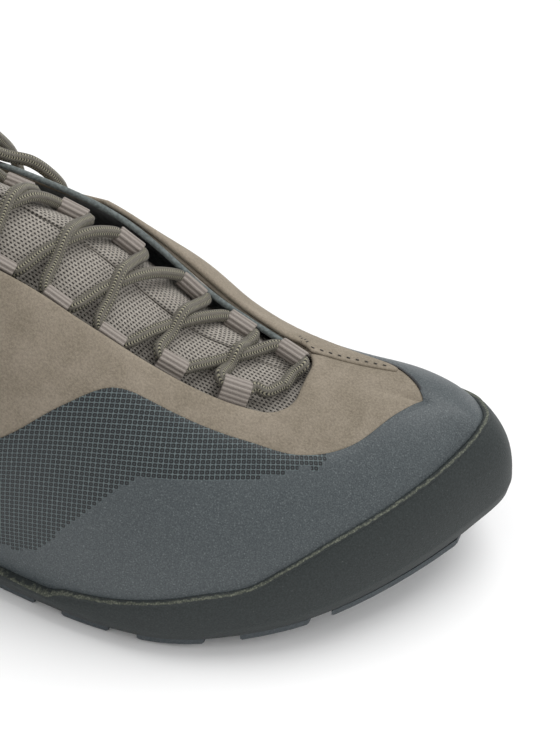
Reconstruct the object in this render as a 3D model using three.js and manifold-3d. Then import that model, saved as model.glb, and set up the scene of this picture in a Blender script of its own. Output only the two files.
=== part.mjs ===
// Approach shoe for the right foot: suede upper with a bonded film band, rubber rand and lugged outsole.
// Units are millimetres. +X points to the toe, +Y to the inner (medial) side, +Z up, floor at Z = 0.

import * as THREE from 'three';
import * as BufferGeometryUtils from 'three/addons/utils/BufferGeometryUtils.js';
import Module from 'manifold-3d';

const wasm = await Module();
wasm.setup();

// Driving dimensions of the whole shoe
const length = 298; // overall, heel to toe
const ballWidth = 111; // sole across the ball
const instepHeight = 122; // top of the last above the floor
const toeSpring = 21; // lift of the sole at the toe tip
const archLift = 2.2; // lift of the sole under the arch
const clearance = 0.3; // between neighbouring pieces

// Sole
const lugHeight = 2.6;
const outsoleThickness = 2.0; // plate above the lugs
const lugRoot = 0.5; // how far the plate reaches down between the lugs
const midsoleBall = 7.2; // foam under the ball
const midsoleRim = 3.4; // foam under the upper's edge at the ball
const midsoleHeel = 19.5; // foam under the heel
const insoleThickness = 3.2;
const outsoleInset = 1.1; // rand overhangs the outsole edge
const lugGap = 6.5; // between centre lugs, and between them and the edge lugs
const lugDepth = 13; // edge lugs, from the edge inwards
const centreLugWidth = 15;
const centreLugLength = 14;

// Upper
const upperWall = 2.0;
const featherInset = 3.6; // upper outside, in from the rand outside
const filmThickness = 0.7;
const randToeHeight = 26;
const randStripHeight = 6.2; // low strip behind the step
const randStepStart = 0.612; // shares of the length
const randStepEnd = 0.636;
const cutDepth = 1.2; // how deep an overlay's blank reaches into the last before it is cut
const randLip = 1.5; // rand thickness at its top edge
const randBelly = 2.9; // rand thickness half way up
const stripThickness = 1.1;

// Collar and throat
const collarBackHeight = 87;
const collarDipHeight = 66;
const collarFrontHeight = 108;
const throatFront = 0.803; // share of the length

// Tongue, laces and webbing
const tongueThickness = 3.6;
const tongueDepth = 10.1; // from the last down to the tongue's edge
const tongueCrown = -1.6; // how much higher its middle is; it sinks between the edges
const tongueLateral = 34; // reach from the crest, outer side
const tongueMedial = 26; // reach from the crest, inner side
const tongueFront = 0.845; // shares of the length
const tongueBack = 0.335;
const laceDiameter = 3.4;
const webbingThickness = 0.95;
const webbingWidth = 8.2;
const webbingTail = 1.2; // two pressed layers under the upper
const tailReach = 3.4; // under the upper, from the throat edge
const loopCount = 7; // on each side
const firstLoopLateral = 15.3; // middle of the front loop, back from the throat's front edge
const firstLoopMedial = 7.7;
const lastLoopLateral = 0.4134; // share of the length, middle of the rear loop
const lastLoopMedial = 0.443;

// Mesh density
const evenStations = 26; // along the shoe
const levels = 6; // up one side of the upper
const outlineSteps = 24; // between two rows of the outline table
const collarSteps = 28; // between two rows of the collar line
const stationGap = 0.012; // share of the length kept free on each side of the rand's step

// Sole outline: shares of the length from the heel, and of the ball width from the centre line.
const outlineTable = [
  { along: 0.0, across: 0.01 },
  { along: 0.035, across: -0.175 },
  { along: 0.1, across: -0.275 },
  { along: 0.2, across: -0.325 },
  { along: 0.33, across: -0.345 },
  { along: 0.46, across: -0.405 },
  { along: 0.56, across: -0.465 },
  { along: 0.66, across: -0.5 },
  { along: 0.74, across: -0.49 },
  { along: 0.81, across: -0.425 },
  { along: 0.87, across: -0.33 },
  { along: 0.93, across: -0.175 },
  { along: 0.977, across: 0.0 },
  { along: 0.998, across: 0.13 },
  { along: 0.973, across: 0.25 },
  { along: 0.925, across: 0.345 },
  { along: 0.86, across: 0.43 },
  { along: 0.76, across: 0.495 },
  { along: 0.68, across: 0.5 },
  { along: 0.6, across: 0.465 },
  { along: 0.5, across: 0.395 },
  { along: 0.38, across: 0.355 },
  { along: 0.24, across: 0.35 },
  { along: 0.12, across: 0.3 },
  { along: 0.04, across: 0.195 },
];

// Crest of the last: height as a share of the instep height, offset as a share of the ball width,
// and how round each side of its sections is (2 is an ellipse, more is squarer).
const crestTable = [
  { along: 0.1, height: 1.0, across: 0.0, lateral: 2.9, medial: 2.9 },
  { along: 0.2, height: 1.0, across: 0.01, lateral: 2.8, medial: 2.8 },
  { along: 0.3, height: 1.02, across: 0.03, lateral: 2.5, medial: 2.5 },
  { along: 0.4, height: 0.985, across: 0.06, lateral: 2.15, medial: 2.3 },
  { along: 0.5, height: 0.885, across: 0.1, lateral: 1.95, medial: 2.1 },
  { along: 0.6, height: 0.765, across: 0.105, lateral: 1.88, medial: 1.7 },
  { along: 0.7, height: 0.6, across: 0.08, lateral: 1.9, medial: 1.34 },
  { along: 0.8, height: 0.495, across: 0.08, lateral: 2.0, medial: 1.53 },
  { along: 0.88, height: 0.46, across: 0.1, lateral: 2.4, medial: 2.5 },
  { along: 0.92, height: 0.442, across: 0.11, lateral: 2.9, medial: 3.4 },
];
const crestStart = 0.16;
const crestEnd = 0.9;

// Foam along the shoe, as shares of its heel thickness, of its ball thickness inside, and of its rim.
const midsoleTable = [
  { along: 0.0, heel: 1.0, ball: 0.0, rim: 0.0 },
  { along: 0.2, heel: 0.96, ball: 0.0, rim: 0.0 },
  { along: 0.36, heel: 0.6, ball: 0.35, rim: 0.3 },
  { along: 0.46, heel: 0.22, ball: 0.75, rim: 0.8 },
  { along: 0.56, heel: 0.0, ball: 1.0, rim: 1.0 },
  { along: 1.0, heel: 0.0, ball: 0.8, rim: 1.0 },
];

const lengthStart = -length / 2;
const xAt = (along) => lengthStart + along * length;
const alongAt = (x) => (x - lengthStart) / length;

/** Smooth value of one column of a table at a place along the shoe. */
function column(table, name, along) {
  const last = table.length - 1;
  if (along <= table[0].along) return table[0][name];
  if (along >= table[last].along) return table[last][name];
  let k = 0;
  while (table[k + 1].along < along) k += 1;
  const slope = (i) => {
    const a = Math.max(i - 1, 0);
    const b = Math.min(i + 1, last);
    return (table[b][name] - table[a][name]) / (table[b].along - table[a].along);
  };
  const span = table[k + 1].along - table[k].along;
  const t = (along - table[k].along) / span;
  const t2 = t * t;
  const t3 = t2 * t;
  return (2 * t3 - 3 * t2 + 1) * table[k][name] + (t3 - 2 * t2 + t) * span * slope(k)
    + (3 * t2 - 2 * t3) * table[k + 1][name] + (t3 - t2) * span * slope(k + 1);
}

const springStart = 0.655;
const archCentre = 0.42;
const archReach = 0.14;

/** Height of the tread above the floor: flat at heel and ball, lifted at the arch and the toe. */
function treadHeight(along) {
  const spring = toeSpring * (Math.max(along - springStart, 0) / (1 - springStart)) ** 2;
  const bow = Math.max(1 - ((along - archCentre) / archReach) ** 2, 0);
  return spring + archLift * bow * bow;
}

const plateTop = (along) => treadHeight(along) + lugHeight + outsoleThickness;

/** Height of the feather line, where the upper meets the midsole. */
function featherHeight(along) {
  const wedge = midsoleHeel * column(midsoleTable, 'heel', along);
  return plateTop(along) + clearance + wedge + midsoleRim * column(midsoleTable, 'rim', along);
}

/** Height of the foam inside the upper, where the insole lies. */
function footbedHeight(along) {
  const wedge = midsoleHeel * column(midsoleTable, 'heel', along);
  return plateTop(along) + clearance + wedge + midsoleBall * column(midsoleTable, 'ball', along);
}

// Closed sole outline, read at equal places along the length on both sides.
const outlinePoints = outlineTable.map((row) => new THREE.Vector3(xAt(row.along), row.across * ballWidth, 0));
const outlineCurve = new THREE.CatmullRomCurve3(outlinePoints, true, 'centripetal');
const outlineSamples = outlineCurve.getPoints(outlineTable.length * outlineSteps);
const toeSample = outlineSamples.reduce((best, p, i) => (p.x > outlineSamples[best].x ? i : best), 0);
const heelSample = outlineSamples.reduce((best, p, i) => (p.x < outlineSamples[best].x ? i : best), 0);
const toeTip = outlineSamples[toeSample];
const heelTip = outlineSamples[heelSample];
const lateralSide = outlineSamples.slice(heelSample, toeSample + 1);
const fromToe = [...outlineSamples.slice(toeSample, -1), ...outlineSamples.slice(0, heelSample + 1)];
const medialSide = fromToe.reverse();

/** Y of the sole outline on one side at X. */
function edgeY(side, x) {
  const points = side < 0 ? lateralSide : medialSide;
  let k = 0;
  while (k < points.length - 2 && points[k + 1].x < x) k += 1;
  const span = points[k + 1].x - points[k].x || 1;
  return points[k].y + (points[k + 1].y - points[k].y) * Math.min(Math.max((x - points[k].x) / span, 0), 1);
}

// Places along the shoe: closer together at heel and toe, with one at each end of the rand's step.
const closerAtEnds = (share) => (1 - Math.cos(Math.PI * share)) / 2;
const stationShares = Array.from({ length: evenStations + 1 }, (_, k) => closerAtEnds(k / evenStations))
  .filter((share) => share < randStepStart - stationGap || share > randStepEnd + stationGap)
  .concat([randStepStart, randStepEnd])
  .sort((a, b) => a - b);
const stations = stationShares.length - 1;

/** Ring of columns round the sole: heel, outer side, toe, inner side. */
function makeRing() {
  const ring = [{ along: 0, side: 0, x: heelTip.x, y: heelTip.y }];
  const reach = toeTip.x - heelTip.x;
  for (const share of stationShares.slice(1, -1)) {
    const x = heelTip.x + share * reach;
    ring.push({ along: share, side: -1, x, y: edgeY(-1, x) });
  }
  ring.push({ along: 1, side: 0, x: toeTip.x, y: toeTip.y });
  for (const share of stationShares.slice(1, -1).reverse()) {
    const x = heelTip.x + share * reach;
    ring.push({ along: share, side: 1, x, y: edgeY(1, x) });
  }
  ring.forEach((c, i) => {
    const a = ring[(i + ring.length - 1) % ring.length];
    const b = ring[(i + 1) % ring.length];
    const size = Math.hypot(b.x - a.x, b.y - a.y);
    c.nx = (b.y - a.y) / size;
    c.ny = -(b.x - a.x) / size;
  });
  return ring;
}
const ring = makeRing();
const toeColumn = stations;

/** Crest point that the rib of a column runs up to, and how round that rib is. */
function crest(along, facing) {
  const share = crestStart + (crestEnd - crestStart) * along;
  const lateral = column(crestTable, 'lateral', share);
  const medial = column(crestTable, 'medial', share);
  return {
    x: xAt(share),
    y: column(crestTable, 'across', share) * ballWidth,
    z: column(crestTable, 'height', share) * instepHeight,
    roundness: (lateral + medial) / 2 + (facing * (medial - lateral)) / 2,
  };
}

/** Column of the outline at any share of the length on one side. */
function columnAt(side, along) {
  const x = heelTip.x + along * (toeTip.x - heelTip.x);
  const step = 0.5;
  const slope = (edgeY(side, x + step) - edgeY(side, x - step)) / (2 * step);
  const size = Math.hypot(1, slope);
  return { along, side, x, y: edgeY(side, x), nx: (-side * slope) / size, ny: side / size };
}

const ribPoint = (i, rise) => columnPoint(ring[(i + ring.length) % ring.length], rise);

/** Point of the last on the rib of a column: rise 0 is the feather line, 1 the crest. */
function columnPoint(c, rise) {
  const top = crest(c.along, c.ny);
  const baseX = c.x - c.nx * featherInset;
  const foot = featherHeight(alongAt(baseX)) + clearance;
  const baseY = c.y - c.ny * featherInset;
  const angle = (rise * Math.PI) / 2;
  const out = Math.max(Math.cos(angle), 0) ** (2 / top.roundness);
  const up = Math.sin(angle) ** (2 / top.roundness);
  const x = top.x + (baseX - top.x) * out;
  return new THREE.Vector3(x, top.y + (baseY - top.y) * out, foot + (top.z - foot) * up);
}

/** Point of the last moved along its outward normal. */
function skin(i, rise, out) {
  const step = 0.01;
  const r = Math.min(Math.max(rise, step), 1 - step);
  const along = ribPoint(i + 1, r).sub(ribPoint(i - 1, r));
  const upward = ribPoint(i, r + step).sub(ribPoint(i, r - step));
  const normal = along.cross(upward).normalize();
  return ribPoint(i, rise).addScaledVector(normal, out);
}

/** Middle of a shrinking range, where a rising test turns from true to false. */
function bisect(low, high, isLow) {
  for (let n = 0; n < 22; n += 1) {
    const middle = (low + high) / 2;
    if (isLow(middle)) low = middle;
    else high = middle;
  }
  return (low + high) / 2;
}

/** Height of the last above a place in plan. */
function lastHeight(x, y) {
  const side = y < column(crestTable, 'across', alongAt(x)) * ballWidth ? -1 : 1;
  const riseFor = (c) => bisect(0, 1, (rise) => side * (columnPoint(c, rise).y - y) > 0);
  const along = bisect(0.05, 0.97, (share) => {
    const c = columnAt(side, share);
    return columnPoint(c, riseFor(c)).x < x;
  });
  const c = columnAt(side, along);
  return columnPoint(c, riseFor(c)).z;
}

/** Place on the last in plan, moved out along its normal; the normal comes with it. */
function spot(x, y, out) {
  const step = 1.5;
  const slopeX = (lastHeight(x + step, y) - lastHeight(x - step, y)) / (2 * step);
  const slopeY = (lastHeight(x, y + step) - lastHeight(x, y - step)) / (2 * step);
  const normal = new THREE.Vector3(-slopeX, -slopeY, 1).normalize();
  return { point: new THREE.Vector3(x, y, lastHeight(x, y)).addScaledVector(normal, out), normal };
}

/** Indexed geometry, turned so that its faces point out. */
function solid(points, triangles) {
  let volume = 0;
  for (const [a, b, c] of triangles) {
    volume += points[a].dot(new THREE.Vector3().crossVectors(points[b], points[c]));
  }
  const geometry = new THREE.BufferGeometry();
  const places = points.flatMap((p) => [p.x, p.y, p.z]);
  geometry.setAttribute('position', new THREE.Float32BufferAttribute(places, 3));
  geometry.setIndex(triangles.flatMap(([a, b, c]) => (volume > 0 ? [a, b, c] : [a, c, b])));
  return geometry;
}

/** Skin over a list of equal closed sections; wrapped into a ring, or capped at both ends. */
function loft(sections, wrapped) {
  const around = sections[0].length;
  const points = sections.flat();
  const triangles = [];
  const spans = wrapped ? sections.length : sections.length - 1;
  for (let i = 0; i < spans; i += 1) {
    for (let j = 0; j < around; j += 1) {
      const a = i * around + j;
      const b = i * around + ((j + 1) % around);
      const c = ((i + 1) % sections.length) * around + j;
      const d = ((i + 1) % sections.length) * around + ((j + 1) % around);
      triangles.push([a, b, d], [a, d, c]);
    }
  }
  if (!wrapped) {
    for (const [first, flip] of [[0, true], [(sections.length - 1) * around, false]]) {
      for (let j = 1; j < around - 1; j += 1) {
        triangles.push(flip ? [first, first + j + 1, first + j] : [first, first + j, first + j + 1]);
      }
    }
  }
  return solid(points, triangles);
}

/** Solid between rings of columns, closed by strips across the shoe at its first and last ring. */
function stack(rings) {
  const around = ring.length;
  const points = rings.flat();
  const triangles = [];
  for (let j = 0; j < rings.length - 1; j += 1) {
    for (let i = 0; i < around; i += 1) {
      const a = j * around + i;
      const b = j * around + ((i + 1) % around);
      triangles.push([a, b, b + around], [a, b + around, a + around]);
    }
  }
  for (const [base, flip] of [[0, true], [(rings.length - 1) * around, false]]) {
    for (let k = 0; k < stations; k += 1) {
      const a = base + k;
      const b = base + k + 1;
      const c = base + ((around - k) % around);
      const d = base + around - k - 1;
      const faces = [];
      if (k > 0) faces.push([a, b, c]);
      if (k < stations - 1) faces.push([b, d, c]);
      if (k === 0) faces.splice(0, faces.length, [a, b, d]);
      for (const [p, q, r] of faces) triangles.push(flip ? [p, r, q] : [p, q, r]);
    }
  }
  return solid(points, triangles);
}

/** Closed solid from a geometry, for joining and cutting. */
function toSolid(geometry) {
  const bare = geometry.clone();
  bare.deleteAttribute('normal');
  bare.deleteAttribute('uv');
  const merged = BufferGeometryUtils.mergeVertices(bare, 1e-4);
  return new wasm.Manifold(new wasm.Mesh({
    numProp: 3,
    vertProperties: new Float32Array(merged.attributes.position.array),
    triVerts: new Uint32Array(merged.index.array),
  }));
}

/** Geometry from a joined or cut solid. */
function toGeometry(body) {
  const mesh = body.getMesh();
  const geometry = new THREE.BufferGeometry();
  geometry.setAttribute('position', new THREE.BufferAttribute(new Float32Array(mesh.vertProperties), 3));
  geometry.setIndex(new THREE.BufferAttribute(new Uint32Array(mesh.triVerts), 1));
  return geometry;
}

/** Smooth curve that an extrusion steps along from point to point, so that each point is met exactly. */
class Route extends THREE.CatmullRomCurve3 {
  getUtoTmapping(share) {
    return share;
  }
}

/** Round solid tube through points, with some steps between each two. */
function tube(points, radius, sides, steps) {
  const curve = new Route(points, false, 'centripetal');
  const section = new THREE.Shape(Array.from({ length: sides }, (_, k) => new THREE.Vector2(
    radius * Math.cos((2 * Math.PI * k) / sides), radius * Math.sin((2 * Math.PI * k) / sides))));
  return new THREE.ExtrudeGeometry(section,
    { extrudePath: curve, steps: steps * (points.length - 1), bevelEnabled: false });
}

/** Point of the outline ring, moved inwards, at the height that a rule gives for its place along the shoe. */
function rimPoint(i, inset, heightRule) {
  const x = ring[i].x - ring[i].nx * inset;
  return new THREE.Vector3(x, ring[i].y - ring[i].ny * inset, heightRule(alongAt(x)));
}

/** Ring of points round the shoe from a rule for each column. */
const ringOf = (rule) => ring.map((c, i) => rule(c, i));

const randEnd = 0.42; // share of the length where the rand stops on each side
const randFade = 0.36;
const randHidden = 0.1; // how much deeper a piece stands behind the rand than the rand is thick
const lugSetback = 0.4; // edge lugs, in from the edge of the plate

/** How far a piece stands in: its own inset, or behind the rand where that is deeper. */
function insetBehindRand(along, own) {
  const t = Math.min(Math.max((along - randFade) / (randEnd - randFade - stationGap), 0), 1);
  return Math.max(own, t * (featherInset + randHidden));
}

// Outsole: plate, edge lugs and centre lugs
function buildOutsole() {
  const plate = toSolid(stack([
    ringOf((c, i) => rimPoint(i, insetBehindRand(c.along, outsoleInset),
      (along) => treadHeight(along) + lugHeight - lugRoot)),
    ringOf((c, i) => rimPoint(i, insetBehindRand(c.along, outsoleInset), plateTop)),
  ]));
  return toGeometry(wasm.Manifold.union([plate, ...edgeLugs(), ...centreLugs()]));
}

/** Block of tread between two places along the shoe, its sides given by Y rules. */
function lug(from, to, outerY, innerY, parts) {
  const sections = Array.from({ length: parts + 1 }, (_, k) => {
    const along = from + ((to - from) * k) / parts;
    const x = xAt(along);
    const z = treadHeight(along);
    return [
      new THREE.Vector3(x, outerY(x), z), new THREE.Vector3(x, innerY(x), z),
      new THREE.Vector3(x, innerY(x), z + lugHeight), new THREE.Vector3(x, outerY(x), z + lugHeight),
    ];
  });
  return toSolid(loft(sections, false));
}

// Edge lugs of each side: shares of the length between which they stand, the front one long.
const edgeLugTable = [
  { from: 0.05, to: 0.122 },
  { from: 0.148, to: 0.22 },
  { from: 0.246, to: 0.318 },
  { from: 0.344, to: 0.416 },
  { from: 0.442, to: 0.51 },
  { from: 0.536, to: 0.599 },
  { from: 0.6285, to: 0.677 },
  { from: 0.706, to: 0.769 },
  { from: 0.801, to: 0.858 },
  { from: 0.876, to: 0.945 },
];
const firstCentreLug = 0.09;
const lastCentreLug = 0.9;

function edgeLugs() {
  return [-1, 1].flatMap((side) => {
    const outer = (x) => edgeY(side, x) - side * (outsoleInset + lugSetback);
    const inner = (x) => edgeY(side, x) - side * lugDepth;
    return edgeLugTable.map(({ from, to }) => lug(from, to, outer, inner, 2));
  });
}

function centreLugs() {
  const lugs = [];
  const pitch = (centreLugLength + lugGap) / length;
  for (let along = firstCentreLug; along < lastCentreLug; along += pitch) {
    const x = xAt(along);
    const low = edgeY(-1, x) + lugDepth + lugGap;
    const high = edgeY(1, x) - lugDepth - lugGap;
    const count = Math.max(Math.floor((high - low + lugGap) / (centreLugWidth + lugGap)), 1);
    const width = (high - low + lugGap) / count - lugGap;
    for (let k = 0; k < count; k += 1) {
      const y = low + k * (width + lugGap);
      lugs.push(lug(along, along + centreLugLength / length, () => y, () => y + width, 1));
    }
  }
  return lugs;
}

// Midsole: foam wedge, behind the rand at the front and flush with the outline at the rear
const midsoleGroove = 0.9;
const insideWall = featherInset + 2 * clearance + upperWall; // outline to what stands inside the upper
const rimInside = 0.4; // raised bed of the foam, from the wall at its foot
const bedInside = 0.9; // and at its top

// Side of the foam, bottom to top: share of its height, inset as shares of the groove and the upper's inset.
const midsoleSide = [
  { share: 0, groove: 0, slope: 0.3 },
  { share: 0.3, groove: 0, slope: 0 },
  { share: 0.52, groove: 0, slope: 0.05 },
  { share: 0.56, groove: 1, slope: 0.05 },
  { share: 0.64, groove: 1, slope: 0.11 },
  { share: 0.68, groove: 0, slope: 0.17 },
  { share: 1, groove: 0, slope: 0.67 },
];

function buildMidsole() {
  const level = (share, inset) => ringOf((c, i) => rimPoint(i, insetBehindRand(c.along, inset),
    (along) => (plateTop(along) + clearance) * (1 - share) + featherHeight(along) * share));
  return stack([
    ...midsoleSide.map((row) => level(row.share, row.groove * midsoleGroove + row.slope * featherInset)),
    ringOf((c, i) => rimPoint(i, insideWall + rimInside, featherHeight)),
    ringOf((c, i) => rimPoint(i, insideWall + bedInside, footbedHeight)),
  ]);
}

// Rand: height of its top edge above the tread, as a share of its toe height; a low strip behind its step.
const randTable = [
  { along: 0.636, height: 0.34 },
  { along: 0.68, height: 0.435 },
  { along: 0.73, height: 0.56 },
  { along: 0.77, height: 0.635 },
  { along: 0.81, height: 0.65 },
  { along: 0.845, height: 0.785 },
  { along: 0.88, height: 0.89 },
  { along: 0.93, height: 0.95 },
  { along: 0.965, height: 0.985 },
  { along: 1.0, height: 1.02 },
];
const bandColumns = ring.map((c, i) => i).filter((i) => ring[i].along > randEnd);

/** Rise at which the rib of column i reaches a height. */
const riseAt = (i, height) => bisect(0, 1, (rise) => ribPoint(i, rise).z < height);

/** Rise of the rand's top edge on column i. */
function randRise(i) {
  const { along } = ring[i];
  const full = column(randTable, 'height', along) * randToeHeight;
  const height = along < (randStepStart + randStepEnd) / 2 ? randStripHeight : full;
  return riseAt(i, treadHeight(along) + lugHeight + height);
}

function buildRand() {
  const sections = bandColumns.map((i) => {
    const low = (along) => treadHeight(along) + lugHeight + clearance;
    const top = randRise(i);
    const thick = featherInset - clearance;
    return [
      rimPoint(i, thick, low), rimPoint(i, thick, featherHeight),
      skin(i, top * 0.5, -cutDepth), skin(i, top, -cutDepth),
      skin(i, top, clearance + randLip), skin(i, top * 0.5, clearance + randBelly),
      rimPoint(i, 0, (along) => featherHeight(along) - 1), rimPoint(i, outsoleInset, low),
    ];
  });
  return toGeometry(toSolid(loft(sections, false)).subtract(lastForm(clearance, clearance)));
}

// Insole: footbed inside the upper wall, with a sloping side
const insoleBelow = 1.0; // from the wall at its underside
const insoleAbove = 2.4; // and at its top
function buildInsole() {
  return stack([
    ringOf((c, i) => rimPoint(i, insideWall + insoleBelow, (along) => footbedHeight(along) + clearance)),
    ringOf((c, i) => rimPoint(i, insideWall + insoleAbove,
      (along) => footbedHeight(along) + clearance + insoleThickness)),
  ]);
}

/** Closed form of the last, moved outwards, from a drop below the feather line to the crest. */
function lastForm(out, drop) {
  const rises = Array.from({ length: levels }, (_, j) => j / levels);
  const rings = rises.map((rise) => ringOf((c, i) => skin(i, rise, out)));
  if (drop > 0) rings.unshift(rings[0].map((p) => p.clone().setZ(p.z - drop)));
  const around = ring.length;
  const points = rings.flat();
  const triangles = [];
  for (let j = 0; j < rings.length - 1; j += 1) {
    for (let i = 0; i < around; i += 1) {
      const a = j * around + i;
      const b = j * around + ((i + 1) % around);
      triangles.push([a, b, b + around], [a, b + around, a + around]);
    }
  }
  const crestBase = points.length;
  for (let k = 0; k <= stations; k += 1) points.push(skin(k, 1, out));
  const crestIndex = (i) => crestBase + (i <= stations ? i : around - i);
  const top = (rings.length - 1) * around;
  for (let i = 0; i < around; i += 1) {
    const next = (i + 1) % around;
    triangles.push([top + i, top + next, crestIndex(next)]);
    if (crestIndex(i) !== crestIndex(next)) triangles.push([top + i, crestIndex(next), crestIndex(i)]);
  }
  for (let k = 0; k < stations; k += 1) {
    const c = (around - k) % around;
    const d = around - k - 1;
    if (k === 0) triangles.push([k, d, k + 1]);
    else triangles.push([k, c, k + 1]);
    if (k > 0 && k < stations - 1) triangles.push([k + 1, c, d]);
  }
  return toSolid(solid(points, triangles));
}

// Collar line seen from the side: shares of the length, and heights as parts of the collar's three heights.
const collarLine = [
  { along: -0.05, back: 1.03, dip: 0, front: 0 },
  { along: 0.03, back: 1.0, dip: 0, front: 0 },
  { along: 0.1, back: 0.62, dip: 0.36, front: 0 },
  { along: 0.18, back: 0.14, dip: 0.87, front: 0 },
  { along: 0.26, back: 0, dip: 1.0, front: 0 },
  { along: 0.315, back: 0, dip: 0.8, front: 0.2 },
  { along: 0.362, back: 0, dip: 0.3, front: 0.62 },
  { along: 0.388, back: 0, dip: 0, front: 0.98 },
  { along: 0.4, back: 0, dip: 0, front: 1.16 },
];

/** Everything above the collar line. */
function collarCutter() {
  const heightOf = (row) => row.back * collarBackHeight + row.dip * collarDipHeight
    + row.front * collarFrontHeight;
  const points = collarLine.map((row) => new THREE.Vector3(xAt(row.along), heightOf(row), 0));
  const line = new THREE.CatmullRomCurve3(points, false, 'centripetal').getPoints(collarSteps);
  const roof = 2 * instepHeight;
  const shape = new THREE.Shape([...line.map((p) => new THREE.Vector2(p.x, p.y)),
    new THREE.Vector2(line[line.length - 1].x, roof), new THREE.Vector2(line[0].x, roof)]);
  const depth = 2 * ballWidth;
  const geometry = new THREE.ExtrudeGeometry(shape, { depth, bevelEnabled: false });
  geometry.rotateX(Math.PI / 2).translate(0, depth / 2, 0);
  return toSolid(geometry);
}

// Throat edges: shares of the length, and of the ball width from the throat's centre line.
const throatTable = [
  { along: 0.3, lateral: -0.176, medial: 0.255 },
  { along: 0.45, lateral: -0.163, medial: 0.242 },
  { along: 0.55, lateral: -0.163, medial: 0.229 },
  { along: 0.61, lateral: -0.174, medial: 0.212 },
  { along: 0.68, lateral: -0.174, medial: 0.1855 },
  { along: 0.745, lateral: -0.159, medial: 0.157 },
  { along: 0.805, lateral: -0.1176, medial: 0.1045 },
];
const throatBack = 0.3; // share of the length, behind the collar's front
const throatCentre = 0.045; // share of the ball width
const throatCorner = 7; // radius of the front corners

/** Y of the throat's edge at a place along the shoe, moved outwards. */
function throatY(side, along, out) {
  const share = column(throatTable, side < 0 ? 'lateral' : 'medial', along);
  return (throatCentre + share) * ballWidth + side * out;
}

/** Upright prism over the throat, grown by a margin. */
function throatCutter(grow) {
  const shape = new THREE.Shape();
  const front = xAt(throatFront) + grow;
  const back = xAt(throatBack);
  const steps = 8;
  const low = throatY(-1, throatFront, grow);
  const high = throatY(1, throatFront, grow);
  const placeAt = (k) => throatBack + ((throatFront - throatCorner / length - throatBack) * k) / steps;
  shape.moveTo(back, throatY(-1, throatBack, grow));
  for (let k = 1; k <= steps; k += 1) {
    const along = placeAt(k);
    shape.lineTo(xAt(along), throatY(-1, along, grow));
  }
  shape.quadraticCurveTo(front, low, front, low + throatCorner);
  shape.lineTo(front, high - throatCorner);
  shape.quadraticCurveTo(front, high, xAt(throatFront - throatCorner / length),
    throatY(1, throatFront - throatCorner / length, grow));
  for (let k = steps - 1; k >= 0; k -= 1) {
    const along = placeAt(k);
    shape.lineTo(xAt(along), throatY(1, along, grow));
  }
  const geometry = new THREE.ExtrudeGeometry(shape,
    { depth: 2 * instepHeight, bevelEnabled: false, curveSegments: 4 });
  return toSolid(geometry.translate(0, 0, featherHeight(throatFront) + insoleThickness));
}

// Upper: wall between the last and a larger form, cut open at collar, throat and underneath
function buildUpper() {
  const wall = lastForm(0, 0).subtract(lastForm(-upperWall, insoleThickness + midsoleRim));
  return toGeometry(wall.subtract(collarCutter()).subtract(throatCutter(0)));
}

/** Shell patch over some columns, between two rises and two offsets. */
function patch(columns, lowRise, highRise, inner, outer, steps, wrapped) {
  const sections = columns.map((i) => {
    const low = lowRise(i);
    const high = highRise(i);
    const rises = Array.from({ length: steps + 1 }, (_, k) => low + ((high - low) * k) / steps);
    const inside = rises.map((rise) => skin(i, rise, inner));
    return [...inside, ...rises.reverse().map((rise) => skin(i, rise, outer))];
  });
  return loft(sections, wrapped);
}

// Film band: rise of its top edge on each side, as seen along the shoe.
const filmTable = [
  { along: 0.0, lateral: 0.36, medial: 0.36 },
  { along: 0.12, lateral: 0.22, medial: 0.22 },
  { along: 0.3, lateral: 0.15, medial: 0.15 },
  { along: 0.45, lateral: 0.19, medial: 0.19 },
  { along: 0.55, lateral: 0.34, medial: 0.3 },
  { along: 0.61, lateral: 0.5, medial: 0.42 },
  { along: 0.655, lateral: 0.61, medial: 0.47 },
  { along: 0.7, lateral: 0.64, medial: 0.49 },
  { along: 0.8, lateral: 0.64, medial: 0.5 },
  { along: 0.86, lateral: 0.625, medial: 0.53 },
  { along: 0.91, lateral: 0.68, medial: 0.61 },
  { along: 0.955, lateral: 0.83, medial: 0.78 },
  { along: 1.0, lateral: 0.94, medial: 0.94 },
];
const filmBase = 0.05; // rise of its lower edge where no rand covers it
const filmGap = 0.006; // rise left free above the rand
const randEndGap = 0.02; // share of the length behind the rand's end where it still stays above it

/** Rise of the film's top edge on column i. */
function filmRise(i) {
  const c = ring[i];
  const lateral = column(filmTable, 'lateral', c.along);
  const medial = column(filmTable, 'medial', c.along);
  return (lateral + medial) / 2 + (c.ny * (medial - lateral)) / 2;
}

/** Rise just above the rand's top edge, or near the feather line behind the rand. */
const aboveRand = (i) => (ring[i].along > randEnd - randEndGap ? randRise(i) + filmGap : filmBase);

function buildFilm() {
  const sheet = lastForm(clearance + filmThickness, 0).subtract(lastForm(clearance, clearance));
  const columns = ring.map((c, i) => i);
  const area = patch(columns, aboveRand, filmRise, -cutDepth, cutDepth + filmThickness, 4, true);
  return toGeometry(sheet.intersect(toSolid(area)));
}

// Near edge of the inner eyestay, ahead of the throat: shares of the length and of the ball width.
const seamTable = [
  { along: 0.795, across: 0.14 },
  { along: 0.842, across: 0.165 },
  { along: 0.885, across: 0.19 },
];
const stripEnd = 0.875; // share of the length where it is cut square
const stripSlant = 1.5; // how far its end runs back towards the inner side
const stripGap = 0.012; // rise left free above the film
const stripTop = 0.985; // rise of its blank, inside the throat's cut
const stripBack = 0.2; // shares of the length between which its blank lies
const stripFront = 0.96;

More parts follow.
